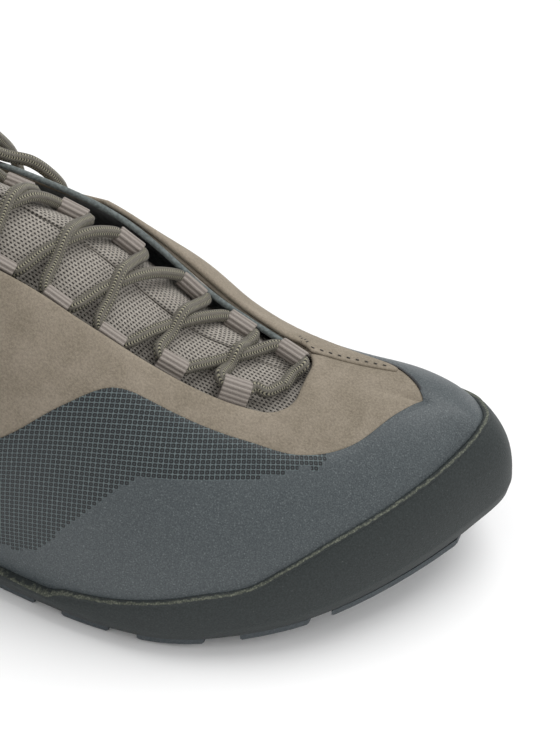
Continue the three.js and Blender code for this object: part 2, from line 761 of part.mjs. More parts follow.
/** Upright block over the vamp on the outer side of the eyestay's seam, and over all ahead of its end. */
function vampCutter() {
  const far = ballWidth;
  const seam = seamTable.map((row) => new THREE.Vector2(xAt(row.along), row.across * ballWidth));
  const shape = new THREE.Shape([new THREE.Vector2(seam[0].x, -far), ...seam.slice(0, 2),
    new THREE.Vector2(xAt(stripEnd), seam[2].y), new THREE.Vector2(xAt(stripEnd) - stripSlant, far),
    new THREE.Vector2(length, far), new THREE.Vector2(length, -far)]);
  return toSolid(new THREE.ExtrudeGeometry(shape, { depth: 2 * instepHeight, bevelEnabled: false }));
}

/** Suede eyestay laid over the inner side, from the throat down to the film and forward over the vamp. */
function buildStrip() {
  const inBlank = (i) => ring[i].side > 0 && ring[i].along > stripBack && ring[i].along < stripFront;
  const columns = ring.map((c, i) => i).filter(inBlank);
  const sheet = lastForm(clearance + stripThickness, 0).subtract(lastForm(clearance, clearance));
  const low = (i) => filmRise(i) + stripGap;
  const area = toSolid(patch(columns, low, () => stripTop, -cutDepth, cutDepth + stripThickness, 4, false));
  return toGeometry(wasm.Manifold.difference(
    [sheet.intersect(area), collarCutter(), throatCutter(0), vampCutter()]));
}

/** Rise at which the rib of column i comes within a reach of the crest, in plan. */
function riseAtReach(i, reach) {
  const top = ribPoint(i, 1);
  return bisect(0, 1, (rise) => {
    const p = ribPoint(i, rise);
    return Math.hypot(p.x - top.x, p.y - top.y) > reach;
  });
}

// Tongue: padded plate that follows the last under the webbing. Shares of its depth, crown and reach.
const tongueTable = [
  { along: 0.335, drop: 0.832, crown: 1.0, width: 0.9 },
  { along: 0.45, drop: 1.0, crown: 1.0, width: 0.94 },
  { along: 0.6, drop: 1.0, crown: 1.0, width: 1.0 },
  { along: 0.68, drop: 0.9, crown: 0.83, width: 0.95 },
  { along: 0.74, drop: 0.733, crown: 0.375, width: 0.85 },
  { along: 0.8, drop: 0.564, crown: 0.04, width: 0.7 },
  { along: 0.845, drop: 0.495, crown: 0.0, width: 0.5 },
];
const tongueReach = (side) => (side < 0 ? tongueLateral : tongueMedial);
const tongueWidth = (side, along) => tongueReach(side) * column(tongueTable, 'width', along);

/** How far the tongue's top lies from the last; `middle` is 0 at its edge and 1 on the crest. */
const tongueTop = (along, middle) => column(tongueTable, 'crown', along) * tongueCrown * middle * middle
  - column(tongueTable, 'drop', along) * tongueDepth;

/** The same, above a place in plan. */
function tongueTopAt(x, y) {
  const along = alongAt(x);
  const offset = y - column(crestTable, 'across', along) * ballWidth;
  return tongueTop(along, Math.max(1 - Math.abs(offset) / tongueWidth(Math.sign(offset), along), 0));
}
const crestShare = (i) => crestStart + (crestEnd - crestStart) * ring[i].along;

function buildTongue() {
  const columns = ring.map((c, i) => i).slice(1, toeColumn)
    .filter((i) => crestShare(i) > tongueBack && crestShare(i) < tongueFront);
  const steps = 5;
  const surface = (k, out) => {
    const share = crestShare(k);
    const across = (i, side) => Array.from({ length: steps }, (_, n) => {
      const low = riseAtReach(i, tongueWidth(side, share));
      return skin(i, low + ((1 - low) * n) / steps, out + tongueTop(share, n / steps));
    });
    const m = ring.length - k;
    const top = out + tongueTop(share, 1);
    const middle = skin(k, 1, top).add(skin(m, 1, top)).multiplyScalar(0.5);
    return [...across(k, -1), middle, ...across(m, 1).reverse()];
  };
  return loft(columns.map((k) => [...surface(k, 0), ...surface(k, -tongueThickness).reverse()]), false);
}

// Webbing loops on both edges of the throat, and the lace through them
const laceRoom = 0.6; // between the lace and the webbing round it
const ringAbove = 1.0; // between the webbing and the tongue
const tailAbove = 0.9; // between a tail and the tongue
const ringInner = laceDiameter / 2 + laceRoom;
const ringOuter = ringInner + webbingThickness;
const ringLift = (x, y) => ringOuter + ringAbove + tongueTopAt(x, y);

// How far each loop reaches from the throat edge into the throat, front to back.
const loopTable = [
  { lateral: 5.6, medial: 4.9 },
  { lateral: 4.2, medial: 4.6 },
  { lateral: 0.9, medial: 4.4 },
  { lateral: 0.6, medial: 4.6 },
  { lateral: 0.6, medial: 4.8 },
  { lateral: 0.6, medial: 4.8 },
  { lateral: 0.6, medial: 4.8 },
];

/** Middle, direction to the toe, outward direction and normal of one webbing loop. */
function loopFrame(side, k) {
  const front = xAt(throatFront) - (side < 0 ? firstLoopLateral : firstLoopMedial);
  const back = xAt(side < 0 ? lastLoopLateral : lastLoopMedial);
  const x = front + ((back - front) * k) / (loopCount - 1);
  const along = alongAt(x);
  const step = 0.01;
  const inset = -side * (side < 0 ? loopTable[k].lateral : loopTable[k].medial);
  const y = throatY(side, along, 0) + inset;
  const { point, normal } = spot(x, y, ringLift(x, y));
  const aheadX = x + step * length;
  const aheadY = throatY(side, along + step, 0) + inset;
  const ahead = spot(aheadX, aheadY, ringLift(aheadX, aheadY)).point;
  const toToe = ahead.sub(point);
  toToe.addScaledVector(normal, -toToe.dot(normal)).normalize();
  const outward = new THREE.Vector3().crossVectors(normal, toToe).multiplyScalar(side);
  return { x, point, normal, toToe, outward };
}

/** Folded webbing: a ring for the lace with a flat tail that goes under the upper. */
function webbingLoop(side, k) {
  const { x, point, normal, toToe, outward } = loopFrame(side, k);
  const tailY = throatY(side, alongAt(x), 0) + side * tailReach;
  const tailEnd = spot(x, tailY, tongueTopAt(x, tailY) + tailAbove + webbingTail / 2).point.sub(point);
  const end = new THREE.Vector2(tailEnd.dot(outward), tailEnd.dot(normal));
  const start = new THREE.Vector2(0, -ringOuter + webbingTail / 2);
  const across = end.clone().sub(start).normalize();
  const offset = new THREE.Vector2(-across.y, across.x).multiplyScalar(webbingTail / 2);
  const shape = new THREE.Shape();
  const join = Math.asin((ringOuter - webbingTail) / ringOuter);
  const arcSteps = 7;
  for (let n = 0; n <= arcSteps; n += 1) {
    const angle = -join + ((1.5 * Math.PI + join) * n) / arcSteps;
    const place = new THREE.Vector2(ringOuter * Math.cos(angle), ringOuter * Math.sin(angle));
    if (n === 0) shape.moveTo(place.x, place.y);
    else shape.lineTo(place.x, place.y);
  }
  shape.lineTo(end.x - offset.x, end.y - offset.y);
  shape.lineTo(end.x + offset.x, end.y + offset.y);
  shape.closePath();
  const holeSides = 8;
  const holePoints = Array.from({ length: holeSides }, (_, n) => {
    const angle = (-2 * Math.PI * n) / holeSides;
    return new THREE.Vector2(ringInner * Math.cos(angle), ringInner * Math.sin(angle));
  });
  shape.holes.push(new THREE.Path(holePoints));
  const geometry = new THREE.ExtrudeGeometry(shape,
    { depth: webbingWidth, bevelEnabled: false, curveSegments: 1 });
  geometry.translate(0, 0, -webbingWidth / 2);
  const axis = new THREE.Vector3().crossVectors(outward, normal);
  return geometry.applyMatrix4(new THREE.Matrix4().makeBasis(outward, normal, axis).setPosition(point));
}

const strandLow = 1.0; // under a strand in its middle, above the tongue
const strandHigh = 2.0; // near the loops
const strandSink = 0.6; // how far two crossing strands press into each other
const barSetback = 4.6; // front bar, back from the throat's front edge
const barSlack = 1.2; // between the bar and the tongue
const barShift = 1.0; // middle of the bar, from the throat's centre line to the outer side
const barOverlap = 0.8; // how far each half runs past the middle
const laceLead = 0.7; // straight lace outside each end of a loop
const turnReach = 2.9; // how far the lace goes beyond a loop before it turns back over the throat
const turnInwards = 2.6;
const barTurn = 1.8; // the same for the front bar
const barInwards = 1.2;

/** Run of the lace through one loop, from toe to heel, with its turn towards the throat at both ends. */
function throughLoop(side, k) {
  const { point, toToe, outward } = loopFrame(side, k);
  const edge = webbingWidth / 2;
  const at = (reach, inwards) => point.clone().addScaledVector(toToe, reach)
    .addScaledVector(outward, -inwards);
  const start = k === 0 ? at(edge + barTurn, barInwards) : at(edge + turnReach, turnInwards);
  return [start, at(edge + laceLead, 0), at(-edge - laceLead, 0), at(-edge - turnReach, turnInwards)];
}

// Knot of the bow, on the tongue above the last loops
const knot = { x: -39, y: 6, z: 121.4, length: 11, width: 12, height: 8.6 };
const entry = { ahead: 5.2, aside: 6.6, below: 1.6 }; // where the lace reaches it, from its middle
const knotEntry = (side) => new THREE.Vector3(
  knot.x + entry.ahead, knot.y + side * entry.aside, knot.z - entry.below);

/** Run of the lace over the tongue between two points; a strand that goes over is lifted in the middle. */
function strand(from, to, goesOver) {
  return [0.25, 0.5, 0.75].map((share) => {
    const x = from.x + (to.x - from.x) * share;
    const y = from.y + (to.y - from.y) * share;
    const lift = goesOver && share === 0.5 ? laceDiameter - strandSink : 0;
    const slack = share === 0.5 ? strandLow : strandHigh;
    return spot(x, y, tongueTopAt(x, y) + laceDiameter / 2 + slack + lift).point;
  });
}

/** Half of the lace: zigzag from the front bar, starting through the front loop of one side. */
function halfLace(firstSide) {
  const barX = xAt(throatFront) - barSetback;
  const barY = throatCentre * ballWidth - barShift;
  const lift = tongueTopAt(barX, barY) + laceDiameter / 2 + barSlack;
  const bar = spot(barX, barY - firstSide * barOverlap, lift).point;
  const points = [bar];
  for (let k = 0; k < loopCount; k += 1) {
    const side = k % 2 === 0 ? firstSide : -firstSide;
    points.push(...throughLoop(side, k));
    const next = k < loopCount - 1 ? throughLoop(-side, k + 1)[0] : knotEntry(side);
    points.push(...strand(points[points.length - 1], next, side < 0 && k < loopCount - 1));
    if (k === loopCount - 1) points.push(next);
  }
  return points;
}

function buildLace() {
  const halves = [-1, 1].map((side) => {
    const points = halfLace(side);
    return toSolid(tube(points, laceDiameter / 2, 6, 1));
  });
  return toGeometry(wasm.Manifold.union(halves));
}

// Bow: the routes are chosen by hand, each from the knot outwards.
const bowMedial = [
  [-37, 13.2, 124.2], [-31.4, 18.8, 117.6], [-24.5, 22.4, 107.6], [-16.4, 25.2, 98.2], [-8.6, 28.8, 91],
  [-2, 32.6, 87], [3, 35.2, 80.4], [4.8, 37.8, 73], [2.2, 39.8, 66.6], [-4, 40.6, 64.8], [-12, 40.2, 68.6],
  [-20, 38.6, 77], [-27, 35.2, 88.6], [-33, 30, 100.6], [-38, 22.8, 111.6], [-41.6, 14, 119.6],
];
const bowLateral = [
  [-37, -0.9, 123.4], [-33.6, -7, 121.6], [-29, -14.6, 116.2], [-25, -22, 106.6], [-22, -28.4, 94.6],
  [-20.6, -33.8, 81.4], [-22.6, -37.6, 70.6], [-28.4, -39, 65], [-34.8, -37.2, 69.4], [-38.8, -33.4, 80.4],
  [-41.2, -27.6, 93.4], [-42.6, -19.6, 105.8], [-42.8, -10.4, 115], [-41.6, -2.4, 119.8],
];
const endMedial = [
  [-39.6, 9, 128], [-33.6, 15.2, 127.4], [-26.6, 21.2, 120.4], [-20, 26, 109.6], [-15, 30.2, 99.4],
  [-12, 34.2, 90.8], [-11.4, 38.8, 82.6], [-11.6, 42.6, 74.4], [-11.8, 44.9, 67.4],
];
const endLateral = [
  [-45.3, 2.6, 122.2], [-49.4, -3.6, 119.4], [-52.4, -12.4, 112.4], [-54, -21.4, 102], [-55, -29.4, 88.6],
  [-55.4, -35.4, 74.6], [-55.2, -38.6, 61.4],
];
const tipLength = 20;

/** Lace tip: a hard sleeve that goes on where the lace ends, turned a little towards the plumb line. */
function laceTip(route, lean) {
  const [before, last] = route.slice(-2).map((p) => new THREE.Vector3(...p));
  const direction = last.clone().sub(before).normalize().add(new THREE.Vector3(0, lean, 0)).normalize();
  const geometry = new THREE.CylinderGeometry(laceDiameter / 2 - 0.1, laceDiameter / 2, tipLength, 10);
  const turn = new THREE.Quaternion().setFromUnitVectors(new THREE.Vector3(0, 1, 0), direction);
  const middle = last.clone().addScaledVector(direction, tipLength / 2 + 2 * clearance);
  return geometry.applyQuaternion(turn).translate(middle.x, middle.y, middle.z);
}

const cord = (route) => tube(route.map((p) => new THREE.Vector3(...p)), laceDiameter / 2, 8, 1);

/** Knot of the bow, as one rounded lump. */
function buildKnot() {
  return new THREE.SphereGeometry(0.5, 12, 8).scale(knot.length, knot.width, knot.height)
    .translate(knot.x, knot.y, knot.z);
}

const suede = new THREE.MeshStandardMaterial({ color: 0x948b7a, roughness: 0.95, metalness: 0 });
const film = new THREE.MeshStandardMaterial({ color: 0x63686c, roughness: 0.6, metalness: 0 });
const randRubber = new THREE.MeshStandardMaterial({ color: 0x3a4240, roughness: 0.7, metalness: 0 });
const treadRubber = new THREE.MeshStandardMaterial({ color: 0x575d61, roughness: 0.8, metalness: 0 });
const foam = new THREE.MeshStandardMaterial({ color: 0x5b6063, roughness: 0.9, metalness: 0 });
const knit = new THREE.MeshStandardMaterial({ color: 0x8d8478, roughness: 0.95, metalness: 0 });
const webbing = new THREE.MeshStandardMaterial({ color: 0x8a8276, roughness: 0.85, metalness: 0 });
const lace = new THREE.MeshStandardMaterial({ color: 0x77705f, roughness: 0.9, metalness: 0 });
const tip = new THREE.MeshStandardMaterial({ color: 0x33322f, roughness: 0.35, metalness: 0 });
const footbed = new THREE.MeshStandardMaterial({ color: 0x4c4f50, roughness: 0.95, metalness: 0 });

const shoe = new THREE.Group();
function add(name, geometry, material) {
  const mesh = new THREE.Mesh(geometry, material);
  mesh.name = name;
  shoe.add(mesh);
}

add('outsole', buildOutsole(), treadRubber);
add('midsole', buildMidsole(), foam);
add('rand', buildRand(), randRubber);
add('insole', buildInsole(), footbed);
add('upper', buildUpper(), suede);
add('film_overlay', buildFilm(), film);
add('eyestay_strip', buildStrip(), suede);
add('tongue', buildTongue(), knit);
for (const [side, name] of [[-1, 'lateral'], [1, 'medial']]) {
  for (let k = 0; k < loopCount; k += 1) add(`lace_loop_${name}_${k + 1}`, webbingLoop(side, k), webbing);
}
add('lace_crossings', buildLace(), lace);
add('lace_knot', buildKnot(), lace);
add('lace_bow_medial', cord(bowMedial), lace);
add('lace_bow_lateral', cord(bowLateral), lace);
add('lace_end_medial', cord(endMedial), lace);
add('lace_end_lateral', cord(endLateral), lace);
add('lace_tip_medial', laceTip(endMedial, -0.2), tip);
add('lace_tip_lateral', laceTip(endLateral, 0.1), tip);

export default shoe;
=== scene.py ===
import logging
import math
from collections.abc import Callable, Sequence
from dataclasses import dataclass, field
from enum import Enum

import bpy
import numpy as np
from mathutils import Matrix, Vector
from mathutils.bvhtree import BVHTree


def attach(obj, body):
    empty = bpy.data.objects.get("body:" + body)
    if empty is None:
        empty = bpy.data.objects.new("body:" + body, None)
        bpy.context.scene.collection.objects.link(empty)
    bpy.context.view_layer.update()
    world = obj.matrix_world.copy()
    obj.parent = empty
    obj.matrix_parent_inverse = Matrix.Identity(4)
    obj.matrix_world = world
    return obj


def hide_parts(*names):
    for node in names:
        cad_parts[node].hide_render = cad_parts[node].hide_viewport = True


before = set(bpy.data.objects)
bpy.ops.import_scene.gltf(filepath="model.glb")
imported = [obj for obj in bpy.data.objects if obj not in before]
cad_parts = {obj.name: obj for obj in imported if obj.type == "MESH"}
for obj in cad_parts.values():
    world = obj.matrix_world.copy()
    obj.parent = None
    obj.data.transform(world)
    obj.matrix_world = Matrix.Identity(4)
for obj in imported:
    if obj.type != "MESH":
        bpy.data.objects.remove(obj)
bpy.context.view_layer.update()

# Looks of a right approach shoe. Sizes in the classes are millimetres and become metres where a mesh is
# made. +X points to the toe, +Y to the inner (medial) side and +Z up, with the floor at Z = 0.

logging.basicConfig(level=logging.INFO, format="%(message)s")
log = logging.getLogger("shoe")

MM = 0.001  # metres in a millimetre
Array = np.ndarray


class Side(Enum):
    """Side of the shoe, as the sign of its Y."""

    LATERAL = -1
    MEDIAL = 1

    @property
    def label(self) -> str:
        """Name used for the pieces of this side."""
        return self.name.lower()


# Curves and tables


def smooth_through(points: Array, steps: int, closed: bool = False) -> Array:
    """Run a centripetal curve through points.

    Args:
        points: places to pass, one row each.
        steps: samples between two places.
        closed: whether the last place joins the first.

    Returns:
        Samples along the curve, with the places among them.
    """
    count = len(points)
    if closed:
        padded = np.vstack([points[-1], points, points[0], points[1]])
        spans = count
    else:
        padded = np.vstack([2 * points[0] - points[1], points, 2 * points[-1] - points[-2]])
        spans = count - 1
    before, start, end, after = (padded[k:k + spans] for k in range(4))
    gap = [np.sqrt(np.linalg.norm(b - a, axis=1, keepdims=True))
           for a, b in ((before, start), (start, end), (end, after))]
    lead = ((start - before) / gap[0] - (end - before) / (gap[0] + gap[1]) + (end - start) / gap[1]) * gap[1]
    tail = ((end - start) / gap[1] - (after - start) / (gap[1] + gap[2]) + (after - end) / gap[2]) * gap[1]
    t = (np.arange(steps) / steps)[None, :, None]
    start, end, lead, tail = (a[:, None, :] for a in (start, end, lead, tail))
    curve = ((2 * t**3 - 3 * t**2 + 1) * start + (t**3 - 2 * t**2 + t) * lead
             + (3 * t**2 - 2 * t**3) * end + (t**3 - t**2) * tail).reshape(-1, points.shape[1])
    return curve if closed else np.vstack([curve, points[-1]])


@dataclass(frozen=True)
class Table:
    """Named columns against a place along the shoe, read smoothly."""

    names: tuple[str, ...]
    rows: tuple[tuple[float, ...], ...]

    def read(self, name: str, along: Array) -> Array:
        """Value of one column.

        Args:
            name: column.
            along: share of the length, heel to toe.

        Returns:
            The smooth value at each place.
        """
        table = np.array(self.rows)
        x, y = table[:, 0], table[:, 1 + self.names.index(name)]
        slope = np.empty_like(y)
        slope[1:-1] = (y[2:] - y[:-2]) / (x[2:] - x[:-2])
        slope[0], slope[-1] = (y[1] - y[0]) / (x[1] - x[0]), (y[-1] - y[-2]) / (x[-1] - x[-2])
        s = np.clip(along, x[0], x[-1])
        k = np.clip(np.searchsorted(x, s) - 1, 0, len(x) - 2)
        span = x[k + 1] - x[k]
        t = (s - x[k]) / span
        return ((2 * t**3 - 3 * t**2 + 1) * y[k] + (t**3 - 2 * t**2 + t) * span * slope[k]
                + (3 * t**2 - 2 * t**3) * y[k + 1] + (t**3 - t**2) * span * slope[k + 1])


def ramp(value: Array, start: float, end: float) -> Array:
    """Smooth step from 0 at start to 1 at end."""
    t = np.clip((value - start) / (end - start), 0, 1)
    return t * t * (3 - 2 * t)


def hump(value: Array, middle: float, reach: float) -> Array:
    """Soft bump of height 1 round a middle."""
    return np.exp(-((value - middle) / reach) ** 2)


def unit(vectors: Array) -> Array:
    """Vectors scaled to length 1."""
    return vectors / np.maximum(np.linalg.norm(vectors, axis=-1, keepdims=True), 1e-9)


# Meshes


@dataclass
class Panel:
    """Cut piece of the last's skin: places, normals, named values at each place, and triangles."""

    places: Array
    normals: Array
    values: dict[str, Array]
    triangles: Array

    def cut(self, name: str, level: float = 0.0, both: bool = False) -> "Panel":
        """Cut along a line where a named value reaches a level.

        Args:
            name: value to follow; the part above the level stays.
            level: where to cut.
            both: whether the part below stays too, so that the cut only adds an edge.

        Returns:
            The cut panel.
        """
        names = list(self.values)
        data = np.hstack([self.places, self.normals, np.column_stack([self.values[n] for n in names])])
        value = self.values[name] - level
        value = np.where(np.abs(value) < 1e-4, 1e-4, value)
        above = value > 0
        count = above[self.triangles].sum(1)
        faces = [self.triangles[count == 3]]
        if both:
            faces.append(self.triangles[count == 0])
        groups = []
        for lone_above, wanted in ((True, 1), (False, 2)):
            mixed = self.triangles[count == wanted]
            first = (above[mixed] == lone_above).argmax(1)
            rows = np.arange(len(mixed))
            groups.append([mixed[rows, (first + k) % 3] for k in range(3)])
        edges = np.sort(np.vstack([np.column_stack([g[0], g[k]]) for g in groups for k in (1, 2)]), axis=1)
        kept, place = np.unique(edges, axis=0, return_inverse=True)
        share = value[kept[:, 0]] / (value[kept[:, 0]] - value[kept[:, 1]])
        extra = data[kept[:, 0]] + (data[kept[:, 1]] - data[kept[:, 0]]) * share[:, None]
        ids = np.split(place.reshape(-1) + len(data), np.cumsum([len(g[0]) for g in groups for _ in (1, 2)])[:-1])
        for (a, b, c), (ab, ac), lone_above in zip(groups, (ids[:2], ids[2:]), (True, False)):
            corner = [np.column_stack([a, ab, ac])]
            rest = [np.column_stack([ab, b, c]), np.column_stack([ab, c, ac])]
            if lone_above or both:
                faces += corner
            if not lone_above or both:
                faces += rest
        triangles = np.vstack(faces)
        used, triangles = np.unique(triangles, return_inverse=True)
        data = np.vstack([data, extra])[used]
        values = {n: data[:, 6 + k] for k, n in enumerate(names)}
        return Panel(data[:, :3], unit(data[:, 3:6]), values, triangles.reshape(-1, 3))


@dataclass
class Form:
    """Mesh in the making: places in millimetres, faces with a finish number, and values for materials."""

    places: Array
    faces: list[Sequence[int]]
    finish_of: list[int]
    values: dict[str, Array] = field(default_factory=dict)

    @staticmethod
    def joined(forms: Sequence["Form"]) -> "Form":
        """One form out of several."""
        places, faces, finish_of, start = [], [], [], 0
        for form in forms:
            places.append(form.places)
            faces += [[v + start for v in face] for face in form.faces]
            finish_of += form.finish_of
            start += len(form.places)
        values = {name: np.concatenate([f.values[name] for f in forms]) for name in forms[0].values}
        return Form(np.vstack(places), faces, finish_of, values)

    def made(self, name: str, finishes: Sequence["Finish"], smooth: bool = True) -> bpy.types.Object:
        """Turn the form into an object.

        Args:
            name: name of the object.
            finishes: one finish for each number used by the faces.
            smooth: whether the faces are shaded as one surface.

        Returns:
            The object, linked to the scene.
        """
        mesh = bpy.data.meshes.new(name)
        mesh.from_pydata((self.places * MM).tolist(), [], [list(map(int, f)) for f in self.faces])
        mesh.polygons.foreach_set("material_index", self.finish_of)
        mesh.polygons.foreach_set("use_smooth", [smooth] * len(mesh.polygons))
        for key, value in self.values.items():
            kind = "FLOAT_VECTOR" if value.ndim == 2 else "FLOAT"
            layer = mesh.attributes.new(key, kind, "POINT")
            layer.data.foreach_set("vector" if value.ndim == 2 else "value", value.astype(np.float32).ravel())
        for finish in finishes:
            mesh.materials.append(finish.material())
        mesh.update()
        piece = bpy.data.objects.new(name, mesh)
        bpy.context.scene.collection.objects.link(piece)
        return piece


def shell(panel: Panel, outer: Array, inner: Array, rounding: int = 3) -> Form:
    """Give a panel its thickness, with a rounded rim.

    Args:
        panel: the skin to thicken.
        outer: how far its outer face stands off the last at each place.
        inner: the same for its inner face.
        rounding: faces round the rim.

    Returns:
        Closed form; the faces of the inner side have finish 1, and the rest finish 0.
    """
    count = len(panel.places)
    tri = panel.triangles
    directed = np.vstack([tri[:, [0, 1]], tri[:, [1, 2]], tri[:, [2, 0]]])
    key = directed[:, 0] * count + directed[:, 1]
    back = directed[:, 1] * count + directed[:, 0]
    rim = directed[~np.isin(key, back)]
    step = panel.places[rim[:, 1]] - panel.places[rim[:, 0]]
    out = np.zeros_like(panel.places)
    for end in (0, 1):
        np.add.at(out, rim[:, end], np.cross(step, panel.normals[rim[:, end]]))
    edge = np.unique(rim)
    out = unit(out[edge])
    middle, half = ((outer + inner) / 2)[edge], ((outer - inner) / 2)[edge]
    rings = []
    for k in range(1, rounding):
        angle = math.pi * k / rounding
        rings.append(panel.places[edge] + panel.normals[edge] * (middle + half * math.cos(angle))[:, None]
                     + out * (half * math.sin(angle))[:, None])
    places = np.vstack([panel.places + panel.normals * outer[:, None],
                        panel.places + panel.normals * inner[:, None], *rings])
    row_of = {int(v): k for k, v in enumerate(edge)}
    faces = tri.tolist() + (tri[:, ::-1] + count).tolist()
    finish_of = [0] * len(tri) + [1] * len(tri)
    for a, b in rim.tolist():
        column = [[v] + [2 * count + k * len(edge) + row_of[v] for k in range(rounding - 1)] + [v + count]
                  for v in (a, b)]
        for k in range(rounding):
            faces.append([column[1][k], column[0][k], column[0][k + 1], column[1][k + 1]])
            finish_of.append(0)
    values = {}
    for name, value in panel.values.items():
        values[name] = np.concatenate([value, value] + [value[edge]] * (rounding - 1))
    return Form(places, faces, finish_of, values)


def loft(sections: Array, closed_run: bool = False, capped: bool = True, finish: int = 0) -> Form:
    """Skin over equal closed sections.

    Args:
        sections: places, as sections by points by 3.
        closed_run: whether the last section joins the first.
        capped: whether the ends of an open run are closed.
        finish: finish number of the faces.

    Returns:
        The form, its faces turned outwards.
    """
    runs, around = sections.shape[:2]
    ids = np.arange(runs * around).reshape(runs, around)
    first = ids if closed_run else ids[:-1]
    second = np.roll(ids, -1, axis=0) if closed_run else ids[1:]
    quads = np.stack([first, np.roll(first, -1, 1), np.roll(second, -1, 1), second], axis=-1).reshape(-1, 4)
    faces = quads.tolist()
    if capped and not closed_run:
        faces += [ids[0][::-1].tolist(), ids[-1].tolist()]
    places = sections.reshape(-1, 3)
    corners = places[quads]
    centre = places.mean(0)
    volume = np.einsum("ij,ij->i", corners[:, 0] - centre,
                       np.cross(corners[:, 1] - centre, corners[:, 2] - centre)).sum()
    if volume < 0:
        faces = [face[::-1] for face in faces]
    return Form(places, faces, [finish] * len(faces))


def tube(route: Array, radius: float, sides: int, ribs: int = 0, rib_height: float = 0.0) -> Form:
    """Round cord along a route, with its length and girth as chart values.

    Args:
        route: places along its middle.
        radius: of the cord.
        sides: faces round it.
        ribs: raised bands that run along it.
        rib_height: how far they stand up.

    Returns:
        The form, closed at both ends, with a chart of length and girth in millimetres.
    """
    ahead = unit(np.gradient(route, axis=0))
    across = np.empty_like(ahead)
    across[0] = unit(np.cross(ahead[0], [0.3, 0.1, 1.0]))
    for k in range(1, len(route)):
        across[k] = unit(across[k - 1] - ahead[k] * np.dot(across[k - 1], ahead[k]))
    up = np.cross(ahead, across)
    angle = 2 * np.pi * np.arange(sides) / sides
    size = np.full((len(route), sides), radius)
    size += rib_height * np.cos(ribs * angle)[None, :] if ribs else 0
    for k, share in ((0, 0.55), (1, 0.9), (-1, 0.55), (-2, 0.9)):
        size[k] *= share
    places = (route[:, None, :] + across[:, None, :] * (size * np.cos(angle))[..., None]
              + up[:, None, :] * (size * np.sin(angle))[..., None])
    form = loft(places)
    run = np.concatenate([[0], np.cumsum(np.linalg.norm(np.diff(route, axis=0), axis=1))])
    chart = np.zeros((len(route), sides, 3))
    chart[..., 0] = run[:, None]
    chart[..., 1] = np.abs(angle / np.pi - 1)[None, :]
    chart[..., 2] = np.cos(ribs * angle)[None, :] if ribs else 0
    form.values["chart"] = chart.reshape(-1, 3)
    return form


# Finishes


def colour(code: str, alpha: float = 1.0) -> tuple[float, float, float, float]:
    """Turn an sRGB hex value such as "#948b7a" into linear RGBA."""
    channels = [int(code[k:k + 2], 16) / 255 for k in (1, 3, 5)]
    linear = [c / 12.92 if c <= 0.04045 else ((c + 0.055) / 1.055) ** 2.4 for c in channels]
    return (*linear, alpha)


def add(tree: bpy.types.NodeTree, kind: str, feeds: dict | None = None, out: int | str = 0,
        **settings: object) -> bpy.types.NodeSocket:
    """Add a shader node with its settings and links.

    Args:
        tree: node tree that takes it.
        kind: node type without its ShaderNode prefix.
        feeds: value or socket for its inputs, by name or number.
        out: output to hand back.
        **settings: properties of the node.

    Returns:
        The chosen output socket.
    """
    node = tree.nodes.new("ShaderNode" + kind)
    for name, value in settings.items():
        setattr(node, name, value)
    for name, value in (feeds or {}).items():
        if isinstance(value, bpy.types.NodeSocket):
            tree.links.new(value, node.inputs[name])
        else:
            node.inputs[name].default_value = value
    return node.outputs[out]


